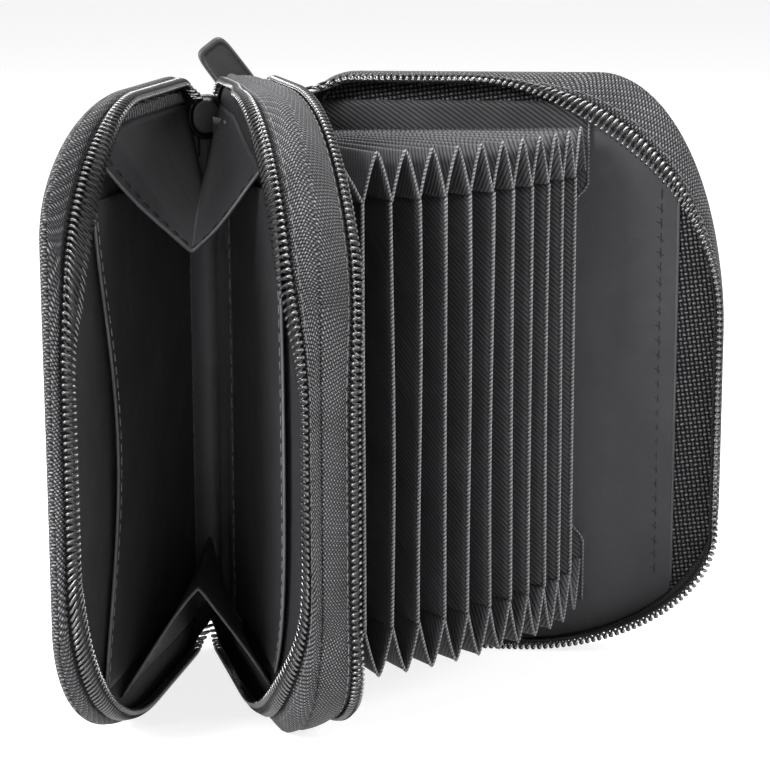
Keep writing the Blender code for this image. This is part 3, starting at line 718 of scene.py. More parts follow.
NYLON = nylon_coil()
SEWING = sewing_thread("sewing_thread", 0.15)
DARK_SEWING = sewing_thread("dark_sewing_thread", 0.022)
for name, strip in strips.items():
    turns = int(strip.run[-1] / COIL_PITCH)
    phase = np.linspace(0, 2 * math.pi * turns, turns * COIL_STEPS + 1)
    run = COIL_PITCH * phase / (2 * math.pi)
    width = 1 + (COIL_HALF_WIDTH * np.cos(phase) + COIL_PAST) / strip.wall
    rise = COIL_HALF_HEIGHT * np.sin(phase) * (1 - 0.25 * np.cos(phase))
    path, share = strip.world(run - 0.15 * COIL_PITCH * np.sin(phase), width, COIL_LIFT + rise)
    line, _ = strip.world(run, 1.0)
    heads = COIL_WIRE * (1 + 0.55 * np.cos(phase) ** 4)
    coil = tubes(f"{name}_coil", path[None], heads, unit(np.gradient(line, axis=0))[None], NYLON)
    strip.join(coil, path, share)
    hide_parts(HALVES[name])
    bow = np.linspace(0, math.pi, 7)
    spots = COIL_PITCH * (np.arange(turns)[:, None] + 0.25) + SEWING_SWAY * np.cos(bow)
    row, share = strip.world(spots, 1 + (SEWING_PAST - SEWING_REACH * np.cos(bow)) / strip.wall,
                             COIL_LIFT + SEWING_RISE * (1 + np.sin(bow)))
    seam = tubes(f"{name}_coil_thread", row, COIL_SEWING, (0, 0, 1), DARK_SEWING, 5)
    strip.join(seam, row, share)
    spots = dashes(1.2 * MM, strip.run[-1] - 2 * MM, HEM_STITCH, HEM_PITCH)
    row, share = strip.world(spots, strip.hem - HEM_INSET / strip.wall,
                             HEM_LIFT + HEM_RISE * np.sin(np.linspace(0, math.pi, 6)))
    seam = tubes(f"{name}_strip_stitches", row, HEM_SEWING, (0, 0, 1), SEWING, 5)
    strip.join(seam, row, share)

# Linings. Thin dark satin covers the inside of the coin trays and of the card cover, glued to the stiff
# board and caught with the zip tape. The partition's card side is lined with the dividers' twill.
LINING_THICK = 0.3 * MM
LINING_CROWN = -0.15 * MM
LINING_LUMPS = 0.12 * MM
LINING_INSET, LINING_START = 0.9 * MM, 1.4 * MM
BACKING_THICK = 0.2 * MM
BACKING_CROWN = -0.01 * MM
BACKING_DEPTH = 0.35 * MM
COVER_FACE = 2.6 * MM
PARTITION_FACE = 1.3 * MM
SATIN_FOLD = 73 * MM
SATIN_FOLD_ROPE = 0.3 * MM


def satin_lining(name, dark, light):
    """Thin satin: a fine diagonal grain, soft creases and an even sheen."""
    made, thread = material(name)
    along, across = thread.cloth()
    grain = ((along + across * 0.6) / 0.30).hump()
    crease = thread.noise(70.0, 4.0, 0.6)
    tone = thread.mix(grain * 0.5 + crease * 0.6, dark, light)
    lift = thread.bump(grain, 0.03, thread.bump(crease, 1.4, None, 0.5))
    return surface(made, thread, {"Base Color": tone, "Roughness": 0.56 - 0.16 * crease, "Normal": lift,
                                  "Specular IOR Level": 0.14, "Sheen Weight": 0.03, "Sheen Roughness": 0.4})


def twill_cloth():
    """Divider twill: raised diagonal wales about a millimetre apart, each of small slanting floats."""
    made, thread = material("twill_cloth")
    along, across = thread.cloth()
    loose = thread.noise(1200.0) - 0.5
    wale = ((along * 0.82 + across * 0.57 + loose * 0.12) / 0.80).hump()
    float_row = ((along * 0.57 - across * 0.82) / 0.34).hump()
    height = wale * (0.72 + 0.28 * float_row)
    patch = thread.noise(120.0, 3.0)
    tone = thread.mix(height * (0.45 + 0.75 * patch), (0.004, 0.004, 0.0045), (0.062, 0.062, 0.066))
    lift = thread.bump(patch, 0.5, thread.bump(height, 0.12), 0.5)
    return surface(made, thread, {"Base Color": tone, "Roughness": 0.62 - 0.15 * wale, "Normal": lift,
                                  "Specular IOR Level": 0.22})


SATIN = satin_lining("satin_lining", (0.0030, 0.0030, 0.0034), (0.021, 0.021, 0.0232))
GREY_SATIN = satin_lining("grey_satin_lining", (0.018, 0.018, 0.020), (0.060, 0.060, 0.064))
TWILL = twill_cloth()
# The backing's colour given is that of the painted highlight on its thread tops.
LOOPED = oxford_cloth("looped_backing", (0.17, 0.17, 0.178), 0.85, 8.0, 0.35)
# Painted highlight: the folded edges, pocket lips, gusset bindings and the cover's fold line are a lighter
# copy of the satin.
FOLDED = satin_lining("folded_satin_edge", (0.020, 0.020, 0.022), (0.110, 0.110, 0.116))
for name, node, tray, face, wall, rim_round, stuff, front, top in (
        ("coin_cover_satin", "coin_cover_lining", coin_cover, COVER_FACE, COIN_OUTER, COIN_RIM, SATIN,
         82, 110.6),
        ("card_cover_satin", "card_cover_lining", card_cover, -COVER_FACE, CARD_OUTER, CARD_RIM, GREY_SATIN,
         73, 109.7),
        ("partition_coin_satin", "partition_coin_lining", partition, -PARTITION_FACE, COIN_INNER, COIN_RIM,
         SATIN, 79.6, 115),
        ("partition_card_twill", "partition_card_lining", partition, PARTITION_FACE, CARD_INNER, CARD_RIM,
         TWILL, 80, 115)):
    inward = np.sign(face)
    outline = closed_edge(tray.corners, rim_round, abs(face) / wall, LINING_INSET, LINING_START)
    if tray is not partition:
        backing = panel(f"{name}_backing", tray, outline, face - inward * BACKING_DEPTH, inward, LOOPED,
                        BACKING_THICK, BACKING_CROWN)
        fasten(backing, tray.body)
    outline = np.minimum(outline, np.array([front, top]) * MM)
    lining = panel(name, tray, outline, face, inward, stuff, LINING_THICK, LINING_CROWN, lumps=LINING_LUMPS)
    fasten(lining, tray.body, node)


def stitches(name, tray, across, line, length, gap, thick=0.13 * MM, slant=0.0, stuff=SEWING):
    """Thread dashes along a flat (s, z) line, each a half sine that rises from the cloth and dips back."""
    line = np.array(line) * MM
    run = run_along(line)
    part = np.linspace(0, 1, 6)
    places = follow(dashes(0.5 * MM, run[-1] - length, length, length + gap), run, line)
    ahead = unit(np.gradient(places, axis=1))
    shift = slant * (part - 0.5)
    s, z = places[..., 0] - ahead[..., 1] * shift, places[..., 1] + ahead[..., 0] * shift
    across = across + np.sign(across) * thick * (0.9 * np.sin(math.pi * part) - 0.3)
    made = tubes(name, tray.stand(across, s, z), thick, tray.facing(1), stuff, 5)
    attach(made, tray.body)


stitches("card_cover_front_stitches", card_cover, -COVER_FACE, ((69.7, 15), (69.7, 93)), 2.0 * MM, 0.9 * MM,
         0.12 * MM, stuff=DARK_SEWING)
stitches("card_cover_front_crosses", card_cover, -COVER_FACE, ((69.5, 15.5), (69.5, 92)), 0.9 * MM, 2.0 * MM,
         0.10 * MM, 1.4 * MM, DARK_SEWING)
stitches("card_cover_top_stitches", card_cover, -COVER_FACE, ((3, 108.4), (54, 108.4)), 1.2 * MM, 0.9 * MM,
         0.16 * MM, 1.0 * MM)
stitches("coin_cover_hem_stitches", coin_cover, COVER_FACE, ((2, 110.9), (50, 110.9)), 0.7 * MM, 0.75 * MM,
         0.2 * MM, 2.2 * MM)
stitches("coin_cover_hinge_stitches", coin_cover, COVER_FACE + 1.15 * MM, ((3.6, 18), (3.6, 94)), 1.9 * MM,
         1.0 * MM)
# The fold line is a thin rope of that lighter satin, a painted highlight along the fold.
fold_line = card_cover.stand(-COVER_FACE, SATIN_FOLD, np.linspace(14, 94, 60)[None] * MM)
fold_line = tubes("card_cover_satin_fold", fold_line, SATIN_FOLD_ROPE, (0, 1, 0), FOLDED)
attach(fold_line, "card_cover")

# Spine. A band of oxford joins the trays behind, with a soft flap at each side that goes round the cover's
# rear edge. The band is puffed a little between its two seams.
SPINE_LEFT, SPINE_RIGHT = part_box("spine_panel")
SPINE_THICK = 0.6 * MM
SPINE_PUFF = 0.5 * MM
FLAP = 5 * MM
FLAP_RUN = 7 * MM
FLAP_THICK = 0.5 * MM
spine_z = np.linspace(SPINE_LEFT.z - 0.6 * MM, SPINE_RIGHT.z + 0.1 * MM, 90)
grid_z, grid_x = np.meshgrid(spine_z, np.linspace(SPINE_LEFT.x, SPINE_RIGHT.x, 40), indexing="ij")
puff = SPINE_PUFF * np.sin(math.pi * (grid_x - SPINE_LEFT.x) / (SPINE_RIGHT.x - SPINE_LEFT.x))
puff = puff + 0.12 * MM * np.sin(grid_z / (7 * MM)) * np.sin(grid_x / (3 * MM))
spine_cloth = cloth_piece("spine_cloth", together(grid_x, SPINE_Y + puff, grid_z), together(grid_z, grid_x),
                          OXFORD, (0, 1, 0), SPINE_THICK)
fasten(spine_cloth, "partition", "spine_panel")
for name, tray, first, side in (("coin_hinge_flap", coin_cover, SPINE_LEFT.x, -1),
                                ("card_hinge_flap", card_cover, SPINE_RIGHT.x, 1)):
    part = np.linspace(0, 1, 16)
    root = np.array([first, SPINE_Y + 0.1 * MM])
    goal = tray.stand(side * 0.75 * MM, FLAP, 0.0)[:2]
    corner = tray.stand(side * 0.9 * MM, -0.6 * MM, 0.0, 0.5)[:2]
    share = part[:, None]
    line = (1 - share) ** 2 * root + 2 * share * (1 - share) * corner + share ** 2 * goal
    points = together(line[:, 0], line[:, 1], spine_z[:, None])
    flap = cloth_piece(name, points, together(spine_z[:, None], part * FLAP_RUN), OXFORD, (side, 1, 0),
                       FLAP_THICK)
    bend(flap, points, ease(part))

# Spine linings. The satin behind the coin compartment is loose and stands in soft upright folds. Behind the
# card pack it is the dividers' twill.
SATIN_WINDOW = 11
fold_z = np.linspace(8 * MM, HEIGHT - 8 * MM, 70)
stops = np.array([coin_cover.stand(COVER_FACE + 0.35 * MM, s * MM, 0.0)[:2] for s in (4.6, 2.6)]
                 + [(-5.9 * MM, SPINE_Y - 1.7 * MM), (-3.4 * MM, SPINE_Y - 1.9 * MM)]
                 + [(-PARTITION_FACE - out * MM, SPINE_Y - s * MM)
                    for out, s in ((0.8, 4.0), (1.0, 9.0), (0.8, 13.5), (0.3, 18.5))])
steps = run_along(stops)
run = np.linspace(0, steps[-1], 64)
plan = follow(run, steps, stops)
margin = SATIN_WINDOW // 2 - 1
for k in (0, 1):
    plan[margin:-margin, k] = np.convolve(plan[:, k], kernel(SATIN_WINDOW), "valid")
side = unit(np.gradient(plan, axis=0))
side = np.stack([side[:, 1], -side[:, 0]], -1)
side = side * np.sign((side * np.array([-0.3, -1.0])).sum(-1))[:, None]
swell = np.sin(math.pi * run / steps[-1]) * (0.35 * MM + 0.45 * MM * np.sin(run / (1.55 * MM) + 0.5))
swell = swell * (1 + 0.25 * np.sin(fold_z[:, None] / (13 * MM)))
loose = plan + side * swell[..., None]
spots = together(loose[..., 0], loose[..., 1], fold_z[:, None])
# Painted light: this satin is painted several times lighter than the other satin, standing in for the light
# on its loose folds.
LIT_SPINE_SATIN = satin_lining("spine_satin", (0.020, 0.020, 0.022), (0.110, 0.110, 0.117))
behind = cloth_piece("coin_spine_satin", spots, together(fold_z[:, None], run), LIT_SPINE_SATIN, (-0.3, -1, 0),
                     LINING_THICK)
bend(behind, spots, ease(1 - (run - 0.5 * MM) / (5 * MM)))
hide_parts("coin_spine_lining")
stitches("partition_satin_stitches", partition, -PARTITION_FACE - 1.25 * MM, ((17.4, 14), (17.4, 101)),
         1.9 * MM, 1.0 * MM)
LINING_LOW, LINING_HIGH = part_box("card_spine_lining")
grid_z, grid_x = np.meshgrid(fold_z, np.linspace(LINING_LOW.x, LINING_HIGH.x, 24), indexing="ij")
ripple = 0.1 * MM * np.sin(grid_z / (11 * MM)) * np.sin(grid_x / (2 * MM))
behind = cloth_piece("card_spine_twill", together(grid_x, LINING_HIGH.y - 0.2 * MM + ripple, grid_z),
                     together(grid_z, grid_x), TWILL, (0, -1, 0), LINING_THICK)
fasten(behind, "partition", "card_spine_lining")

# Slip pockets. A sheet of satin over each coin lining, sewn at the spine, top and bottom. Its folded front
# edge is the mouth, which stands a little off the lining.
POCKET_THICK = 0.35 * MM
POCKET_LIP = 0.36 * MM
POCKET_LIFT, POCKET_MOUTH_LIFT = 0.45 * MM, 0.9 * MM
POCKET_START = 1.9 * MM
POCKET_LOW, POCKET_HIGH = 11 * MM, 98 * MM
POCKET_GAP = 0.3 * MM
POCKET_STITCH, POCKET_STITCHES, POCKET_HEM = 1.5 * MM, 36, 1.6 * MM
SATIN_SEWING = 0.12 * MM
COVER_MOUTH = ((63.0, 98.0), (60.9, 87.5), (58.0, 73.3), (55.0, 58.9), (54.7, 47.7), (57.8, 33.5),
               (63.2, 11.0))
PARTITION_MOUTH = ((60.5, 95.0), (66.0, 80.0), (68.4, 62.0), (68.0, 45.0), (66.3, 30.0), (60.0, 17.0))


def slip_pocket(name, tray, face, inward, mouth, node):
    """Rows up the pocket, columns from the spine to the mouth, a quartic fitted to the given points."""
    mouth = np.array(mouth) * MM
    curve = np.polynomial.Polynomial.fit(mouth[:, 1], mouth[:, 0], 4)

    def bow(z):
        """A half sine up the pocket."""
        return np.sin(math.pi * (z - POCKET_LOW) / (POCKET_HIGH - POCKET_LOW))
    z = np.linspace(POCKET_LOW, POCKET_HIGH, 70)[:, None]
    part = np.linspace(0, 1, 40)[None, :]
    s = POCKET_START + (curve(z) - POCKET_START) * part
    lift = POCKET_LIFT + POCKET_MOUTH_LIFT * part ** 3 * bow(z)
    lift = lift + 0.12 * MM * np.sin(s / (8 * MM)) * np.sin(z / (13 * MM))
    points = tray.stand(face + inward * lift, s, z)
    facing = tray.facing(inward)
    pocket = cloth_piece(name, points, together(z, s), SATIN, facing, POCKET_THICK)
    fasten(pocket, tray.body, node)
    lip = tubes(f"{name}_lip", points[None, :, -1], POCKET_LIP, facing, FOLDED, 8, 0.8)
    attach(lip, tray.body)
    spots = np.linspace(POCKET_LOW + 1 * MM, POCKET_HIGH - 2.5 * MM, POCKET_STITCHES)[:, None]
    spots = spots + np.linspace(0, POCKET_STITCH, 6)
    rise = POCKET_LIFT + 0.15 * MM + 0.9 * POCKET_MOUTH_LIFT * bow(spots)
    row = tray.stand(face + inward * rise, curve(spots) - POCKET_HEM, spots)
    seam = tubes(f"{name}_stitches", row, SATIN_SEWING, facing, SEWING, 5)
    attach(seam, tray.body)


slip_pocket("coin_cover_pocket", coin_cover, COVER_FACE + POCKET_GAP, 1, COVER_MOUTH,
            "coin_cover_slip_pocket")
slip_pocket("partition_pocket", partition, -PARTITION_FACE - POCKET_GAP, -1, PARTITION_MOUTH,
            "partition_slip_pocket")

# Coin gussets. A satin panel folded once closes each end of the coin compartment. Its hems are sewn to the
# two linings and its free front edge is bound.
GUSSET_THICK = 0.4 * MM
GUSSET_LENGTH = 50 * MM
GUSSET_SAG = 0.9 * MM
GUSSET_SEAM = 0.3 * MM
GUSSET_BINDING = 0.26 * MM
TOP_GUSSET = {"cover": ((1.6, 109.4), (20, 109.6), (38, 109.8), (50, 109.0), (55.8, 104.0)),
              "fold": ((1.6, 95.0), (20, 92.5), (46.8, 87.4)),
              "partition": ((1.6, 109.4), (19.7, 108.6), (30.4, 105.1), (45.3, 101.4))}
BOTTOM_GUSSET = {"cover": ((1.6, 6.4), (30, 6.3), (52.3, 6.3)),
                 "fold": ((1.6, 22.0), (25, 24.0), (47.2, 25.2)),
                 "partition": ((1.6, 6.2), (30, 6.1), (48.3, 5.9))}
FOLD_SOFTNESS = 0.16
HALF_OPEN = math.radians(12.5)


def gusset(name, lines, node):
    """A folded sheet: from the fold's line to the cover's or the partition's by a rounded ramp of the width.

    ramp = (sqrt(b^2 + c^2) - c) / (sqrt(1 + c^2) - c), b from -1 at the cover to 1 at the partition.
    """
    part = np.linspace(0, 1, 56)

    def line(key):
        """The s and z of one of the lines, even along it."""
        table = np.array(lines[key]) * MM
        run = run_along(table)
        return follow(part * run[-1], run, table).T
    (s, z), (fold_s, fold_z), (far_s, far_z) = line("cover"), line("fold"), line("partition")
    cover_side = coin_cover.stand(COVER_FACE + 0.35 * MM, s, z)
    far_side = partition.stand(-PARTITION_FACE - 0.35 * MM, far_s, far_z)
    join = (coin_cover.stand(COVER_FACE + GUSSET_SEAM, 0, 0)
            + partition.stand(-PARTITION_FACE - GUSSET_SEAM, 0, 0)) / 2
    fold = together(join[0] - fold_s * math.sin(HALF_OPEN), join[1] - fold_s * math.cos(HALF_OPEN), fold_z)
    b = np.linspace(-1, 1, 49)
    soft = (FOLD_SOFTNESS + 0.35 * (1 - part) ** 0.7)[:, None]
    ramp = (np.sqrt(b * b + soft ** 2) - soft) / (np.sqrt(1 + soft ** 2) - soft)
    side = np.where(b[None, :, None] < 0, cover_side[:, None], far_side[:, None])
    points = fold[:, None] + (side - fold[:, None]) * ramp[..., None]
    up = np.sign(lines["cover"][0][1] - lines["fold"][0][1])
    wave = 0.3 * MM * np.sin(9 * part[:, None] + 5 * b) - up * GUSSET_SAG * (0.4 + 0.6 * part[:, None])
    points[..., 2] += wave * np.sin(math.pi * np.abs(b))
    flat = together(part[:, None] * GUSSET_LENGTH, run_along(points, 1))
    piece = cloth_piece(name, points, flat, SATIN, (0, 0, up), GUSSET_THICK)
    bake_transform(piece)
    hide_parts(node)
    lip = tubes(f"{name}_binding", points[None, -1], GUSSET_BINDING, (0, -1, 0), FOLDED, 8)
    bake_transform(lip)
    inner = points[-1] + (points[-4] - points[-1]) * 0.75
    run = run_along(inner)
    row = follow(dashes(1.0 * MM, run[-1] - 2.5 * MM, 1.6 * MM, 2.6 * MM), run, inner)
    row = row + np.array([0, -0.25, up * 0.3]) * MM * np.sin(np.linspace(0, math.pi, 6))[None, :, None]
    seam = tubes(f"{name}_stitches", row, SATIN_SEWING, (0, -1, 0), DARK_SEWING, 5)
    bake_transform(seam)


gusset("coin_gusset_upper_satin", TOP_GUSSET, "coin_gusset_top")
gusset("coin_gusset_lower_satin", BOTTOM_GUSSET, "coin_gusset_bottom")

# Card pack. Eleven twill dividers stand on folds along the spine and fan out to the card cover. A pleat
# closes the top and bottom of each pocket, its ridge between two dividers and its valleys sewn on them.
DIVIDERS = 11
DIVIDER_LOW, DIVIDER_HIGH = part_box("card_divider_01")[0].z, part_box("card_divider_01")[1].z
DIVIDER_DEPTH = 57.5 * MM
DIVIDER_THICK = 0.30 * MM
DIVIDER_BACK = 0.21 * MM
DIVIDER_START = 2.2 * MM
FIRST_TURN, TURN_STEP = 12.0, 4.58
EDGE_ROPE, END_ROPE, PLEAT_ROPE = 0.36 * MM, 0.26 * MM, 0.27 * MM
PLEAT_HEIGHT = 8.9 * MM
PLEAT_START = 3 * MM
PLEAT_THICK = 0.32 * MM
END_FACE = 3.34 * MM
END_DEPTH = 55 * MM
END_LOW, END_HIGH = 9.5 * MM, 109.6 * MM
END_START = 2.2 * MM
END_THICK = 0.4 * MM
END_WAIST = 2.6 * MM
END_WAIST_LOW, END_WAIST_HIGH, END_WAIST_FADE = 22 * MM, 94 * MM, 4 * MM
folds = [joints[f"divider_{k + 1:02d}_fold"] for k in range(DIVIDERS)]
turns = [FIRST_TURN + TURN_STEP * k for k in range(DIVIDERS)] + [math.degrees(card_cover.turn)]
FOLD_Y = folds[0]["pos_m"][1]


def leaf(k, along, z, off=0.0):
    """World points on divider k, along from its fold. -1 is the partition's face, and 11 the end panel."""
    along = np.asarray(along)
    if k < 0:
        return together(PARTITION_FACE + 0.5 * MM + off, FOLD_Y - along, z)
    if k < DIVIDERS:
        turn = math.radians(turns[k])
        x = folds[k]["pos_m"][0] + along * math.sin(turn) + off * math.cos(turn)
        y = FOLD_Y - along * math.cos(turn) + off * math.sin(turn)
        return together(x, y, z)
    reach = (SPINE_Y - FOLD_Y) + along * (END_DEPTH - (SPINE_Y - FOLD_Y)) / DIVIDER_DEPTH
    return card_cover.stand(-END_FACE + off, reach, z)


def rope_edge():
    """A folded twill edge sewn over: slanting strands along it, painted much lighter than the twill as a
    highlight on the fold.
    """
    made, thread = material("rope_edge")
    along, across = thread.cloth()
    strand = ((along + across * 0.5) / 0.75).hump()
    painted_highlight = strand ** 2.0 * (0.5 + 0.7 * thread.noise(900.0))
    # Painted highlight: the strands' tops are painted far lighter than the twill that the edge is folded
    # from.
    tone = thread.mix(painted_highlight, (0.008, 0.008, 0.009), (0.20, 0.20, 0.21))
    return surface(made, thread, {"Base Color": tone, "Roughness": 0.5 + 0.1 * strand,
                                  "Normal": thread.bump(strand, 0.12)})


ROPE_CLOTH = rope_edge()
for k in range(DIVIDERS):
    z, along = np.meshgrid(np.linspace(DIVIDER_LOW, DIVIDER_HIGH, 50),
                           np.linspace(DIVIDER_START, DIVIDER_DEPTH - 0.3 * MM, 36), indexing="ij")
    part = along / DIVIDER_DEPTH
    wave = 0.35 * MM * part ** 2 * np.sin(z / (17 * MM) + 1.7 * k) * np.sin(2.2 * k + 3 * part)
    points = leaf(k, along, z, wave - DIVIDER_BACK)
    ahead = leaf(k, 0, 0, 1.0) - leaf(k, 0, 0)
    divider = cloth_piece(f"twill_divider_{k + 1:02d}", points, together(z, along), TWILL, -ahead,
                          DIVIDER_THICK)
    fasten(divider, f"divider_{k + 1:02d}", f"card_divider_{k + 1:02d}")
    rim = points[:, -1] + (leaf(k, 0.2 * MM, 0, 0.15 * MM) - leaf(k, 0, 0))
    rope = tubes(f"divider_edge_{k + 1:02d}", rim[None], EDGE_ROPE, ahead, ROPE_CLOTH, 8)
    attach(rope, f"divider_{k + 1:02d}")
z, part = np.meshgrid(np.linspace(END_LOW, END_HIGH, 90), np.linspace(0, 1, 36), indexing="ij")
waist = ease((z - END_WAIST_LOW) / END_WAIST_FADE) * ease((END_WAIST_HIGH - z) / END_WAIST_FADE)
reach = END_DEPTH + 0.4 * MM - END_WAIST * waist
points = card_cover.stand(-END_FACE - 0.15 * MM + 0.1 * MM * np.sin(z / (15 * MM)),
                          END_START + (reach - END_START) * part, z)
last = cloth_piece("twill_end_panel", points, together(z, part * END_DEPTH), TWILL, card_cover.facing(-1),
                   END_THICK)
fasten(last, "card_cover", "card_pack_end_panel")
rim = tubes("twill_end_panel_edge", points[None, :, -1], END_ROPE, (0, 1, 0), ROPE_CLOTH)
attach(rim, "card_cover")


def pleat(k, end, hem, up):
    """A ridge between leaf k and leaf k + 1: hem + up * height (1 - |v|^1.35), v from -1 to 1 across."""
    along = np.linspace(PLEAT_START, DIVIDER_DEPTH - 0.2 * MM, 40)[:, None]
    v = np.linspace(-1, 1, 25)[None, :]
    height = PLEAT_HEIGHT * (1 - np.abs(v) ** 1.35) * (0.86 + 0.14 * along / DIVIDER_DEPTH)
    z = hem + up * height
    u = (v + 1) / 2
    points = leaf(k, along, z) * (1 - u[..., None]) + leaf(k + 1, along, z) * u[..., None]
    flat = together(along, run_along(points, 1))
    piece = cloth_piece(f"pleat_{end}_{k + 2:02d}", points, flat, TWILL, (0, 0, up), PLEAT_THICK)
    turned = 0.0 if k < 0 else turns[k] / turns[k + 1]
    share = np.broadcast_to(turned + (1 - turned) * u, points.shape[:-1])
    bend(piece, points, share)
    lip = tubes(f"pleat_edge_{end}_{k + 2:02d}", points[None, -1], PLEAT_ROPE, (0, -1, 0.3), ROPE_CLOTH)
    bend(lip, points[-1], share[-1])
    return piece


for k in range(-1, DIVIDERS):
    for end, hem, up in (("top", DIVIDER_HIGH, 1), ("bottom", DIVIDER_LOW, -1)):
        ridge = pleat(k, end, hem, up)
        if k == DIVIDERS // 2:
            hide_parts(f"card_bellows_{end}")

# Sliders and stops. Each slider is a dark cast body: a shield outside, a wider lip inside, a neck between
# them and a bridge that the pull hangs on. A small clamp closes each zip's other end.
SLIDER_Z = 105 * MM
STOP_Y = 29.4 * MM
STOP_Z = 14.3 * MM
SLIDER_SHIFT = {"coin": 1.1 * MM, "card": 0.0}
FLANGE_APART = 3.0 * MM
BRIDGE_START, BRIDGE_RISE, BRIDGE_HALF_LENGTH = 0.9 * MM, 2.0 * MM, 2.0 * MM
BRIDGE_WIRE = 0.5 * MM
slider_places = {name: Vector(joints[f"{name}_pull_swing"]["pos_m"]) + Vector((shift, 0, 0))
                 for name, shift in SLIDER_SHIFT.items()}


def black_metal():
    """Blackened zinc, worn a little brighter in spots."""
    made, thread = material("black_metal")
    worn_spots = thread.noise(700.0, 4.0)
    tone = thread.mix(worn_spots, (0.003, 0.003, 0.0033), (0.014, 0.014, 0.015))
    return surface(made, thread, {"Base Color": tone, "Metallic": 0.1, "Roughness": 0.28 + 0.2 * worn_spots,
                                  "Normal": thread.bump(thread.noise(2500.0), 0.02)})


METAL = black_metal()
X_AXIS, Y_AXIS, Z_AXIS = np.eye(3)


def steep(value, power):
    """A power of a value that keeps its sign."""
    return np.sign(value) * np.abs(value) ** power


def pebble(name, centre, wide, tall, deep, profile, stuff, square=2.0, taper=0.0, around=48):
    """A closed solid of rings: centre + wide x + tall z + deep y, with x and z on a superellipse.

    x = |cos a|^(2/square), z = |sin a|^(2/square), both times the ring. profile lists (ring, y) from the
    middle of the front to the middle of the back. taper narrows x towards the top.
    """
    profile = np.array(profile)
    angle = 2 * math.pi * np.arange(around) / around
    z = steep(np.sin(angle), 2 / square)
    x = steep(np.cos(angle), 2 / square) * (1 - taper * z)
    rings = profile[:, :1, None]
    points = (np.array(centre) + rings * (x[:, None] * np.array(wide) + z[:, None] * np.array(tall))
              + profile[:, 1:, None] * np.array(deep))
    index = np.arange(len(profile) * around).reshape(-1, around)
    quads = squares(np.hstack([index, index[:, :1]]))
    ends = [index[0, ::-1].tolist(), index[-1].tolist()]
    if np.cross(wide, tall) @ np.array(deep) < 0:
        quads = quads[:, ::-1]
        ends = [face[::-1] for face in ends]
    flat = np.stack([points[..., 0], points[..., 2]], -1)
    return mesh_piece(name, points.reshape(-1, 3), quads, ends, flat.reshape(-1, 2), stuff)


def rounded(height, roll=0.12, dome=0.0):
    """A plate's profile as (ring, y): flat or domed faces and an edge rounded by a quarter circle."""
    turn = np.linspace(0, math.pi / 2, 5)
    front = [(ring, height + dome * (1 - ring * ring)) for ring in (0.05, 0.35, 0.65, 0.85)]
    over = list(zip(1 - roll + roll * np.sin(turn), height - (1 - np.cos(turn)) * height))
    under = list(zip(1 - roll + roll * np.cos(turn), -height * np.sin(turn)))
    return front + over + under[1:] + [(0.5, -height), (0.05, -height)]


def casting(name, centre, half, profile, square, body, node=None, back=1, taper=0.0, around=48):
    """A black metal plate, half its width and height in millimetres. Its front looks to y times back."""
    made = pebble(name, centre, X_AXIS * half[0] * MM, Z_AXIS * half[1] * MM, Y_AXIS * back * MM, profile,
                  METAL, square, taper, around)
    fasten(made, body, node)


for name, (x, _, _) in slider_places.items():
    body = f"{name}_slider"
    casting(f"{body}_shield", (x, SPINE_Y + 0.75 * MM, SLIDER_Z), (3.4, 3.9), rounded(0.45, 0.14, 0.15), 3.0,
            body, body, taper=0.12)
    casting(f"{body}_lip", (x - 0.3 * MM, SPINE_Y - 3.4 * MM, SLIDER_Z + 1.9 * MM), (3.7, 4.4),
            rounded(0.6, 0.2, 0.15), 2.2, body, back=-1)
    casting(f"{body}_neck", (x, SPINE_Y - 1.0 * MM, SLIDER_Z + 2.0 * MM), (0.8, 1.2), rounded(1.7), 2.0,
            body, around=24)
    for side, shift in (("left", -FLANGE_APART), ("right", FLANGE_APART)):
        casting(f"{body}_flange_{side}", (x + shift, SPINE_Y + 0.2 * MM, SLIDER_Z - 0.6 * MM), (0.36, 2.9),
                rounded(0.75, 0.3), 4.0, body, around=24)
    turn = np.linspace(0, math.pi, 21)
    bow = BRIDGE_START + BRIDGE_RISE * np.sin(turn) ** 0.6
    bridge = together(x, SPINE_Y + bow, SLIDER_Z + BRIDGE_HALF_LENGTH * np.cos(turn))
    bridge = tubes(f"{body}_bridge", bridge[None], BRIDGE_WIRE, X_AXIS, METAL, 10, 1.5)
    fasten(bridge, body)
    casting(f"{name}_zip_clamp", (x, STOP_Y, STOP_Z), (2.1, 1.0), rounded(0.6, 0.3, 0.1), 4.0, "partition",
            f"{name}_zip_stop", around=32)

# Pulls. A wire link swings on the slider's bridge, and a soft rubber tab with a raised rim is moulded round
# its end. The coin zip's pull hangs down, and the card zip's lies slanting upwards.
PULLS = {"coin": ((0.0, 0.0, -1.0), (1.0, 0.0, 0.0)), "card": ((-0.602, 0.0, 0.799), (0.799, 0.0, 0.602))}
TAB_START = 5.7 * MM
TAB_LENGTH = 13.8 * MM
TAB_HALF_WIDTH = 3.4 * MM
TAB_PROFILE = ((0.05, 0.52), (0.5, 0.52), (0.76, 0.52), (0.80, 0.56), (0.83, 0.74), (0.88, 0.80),
               (0.94, 0.76), (0.98, 0.55), (1.0, 0.25))
LINK_LENGTH = 6.7 * MM
LINK_HALF_WIDTH = 2.1 * MM
LINK_WIRE = 0.4 * MM


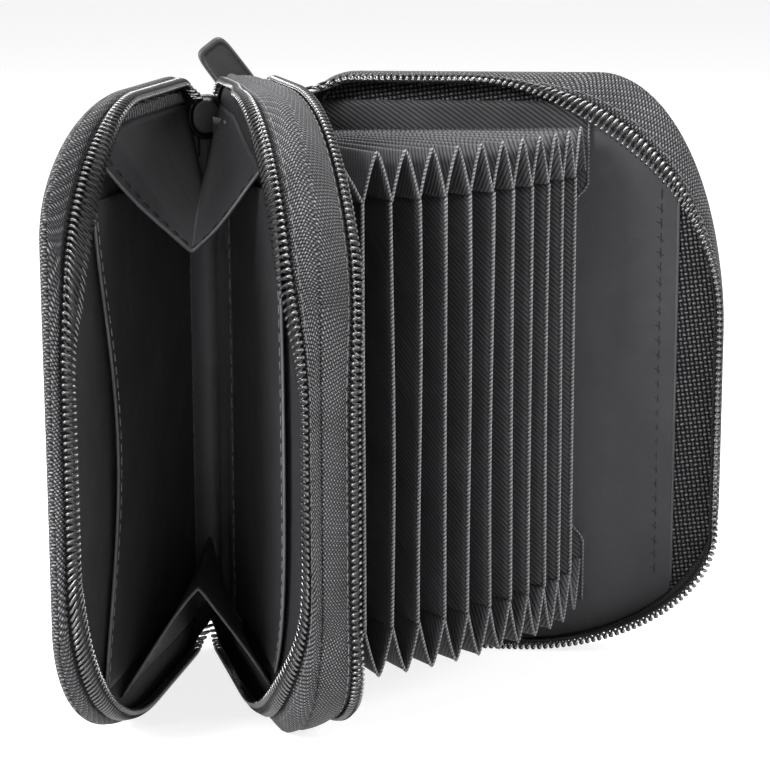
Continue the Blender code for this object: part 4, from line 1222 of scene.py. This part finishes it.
def soft_rubber():
    """Moulded rubber: matt, with a fine even grain and small pits."""
    made, thread = material("soft_rubber")
    grain = thread.noise(5200.0, 2.0)
    pits = thread.noise(700.0, 3.0)
    tone = thread.mix(grain * 0.6 + pits * 0.5, (0.008, 0.008, 0.0088), (0.024, 0.024, 0.026))
    return surface(made, thread, {"Base Color": tone, "Roughness": 0.46 + 0.14 * grain,
                                  "Normal": thread.bump(grain, 0.03, thread.bump(pits, 0.08)),
                                  "Specular IOR Level": 0.4})


RUBBER = soft_rubber()
for name, (ahead, across) in PULLS.items():
    ahead, across = np.array(ahead), np.array(across)
    root = np.array(slider_places[name])
    profile = [*TAB_PROFILE, *((ring, -y) for ring, y in reversed(TAB_PROFILE))]
    tab = pebble(f"{name}_pull_rubber", root + ahead * (TAB_START + TAB_LENGTH / 2), across * TAB_HALF_WIDTH,
                 ahead * TAB_LENGTH / 2, Y_AXIS * MM, profile, RUBBER, 5.0, 0.02, 64)
    fasten(tab, f"{name}_pull", f"{name}_pull_tab")
    turn = np.linspace(0, 2 * math.pi, 61) - math.pi / 2
    bow, reach = steep(np.cos(turn), 0.5)[:, None], steep(np.sin(turn), 0.5)[:, None]
    wire = root + (0.5 + 0.5 * reach) * ahead * LINK_LENGTH + bow * across * LINK_HALF_WIDTH
    link = tubes(f"{name}_pull_wire", np.roll(wire[:-1], 30, 0)[None], LINK_WIRE, Y_AXIS, METAL, 10)
    fasten(link, f"{name}_pull", f"{name}_pull_link")


# What is left of the frame. The stiff boards inside the trays are pressed fibre, and the seam tape round
# the partition is cut from the outer oxford.
def grey_fibreboard():
    """Pressed fibre, flecked."""
    made, thread = material("grey_fibreboard")
    flecks = thread.noise(1800.0, 4.0)
    return surface(made, thread, {"Base Color": thread.mix(flecks, (0.20, 0.18, 0.15), (0.33, 0.30, 0.25)),
                                  "Roughness": 0.8 + 0.15 * flecks, "Normal": thread.bump(flecks, 0.05)})


FIBRE = grey_fibreboard()
for node, made in frame["nodes"].items():
    for slot in made.material_slots:
        slot.material = FIBRE if node.endswith("_board") else OXFORD
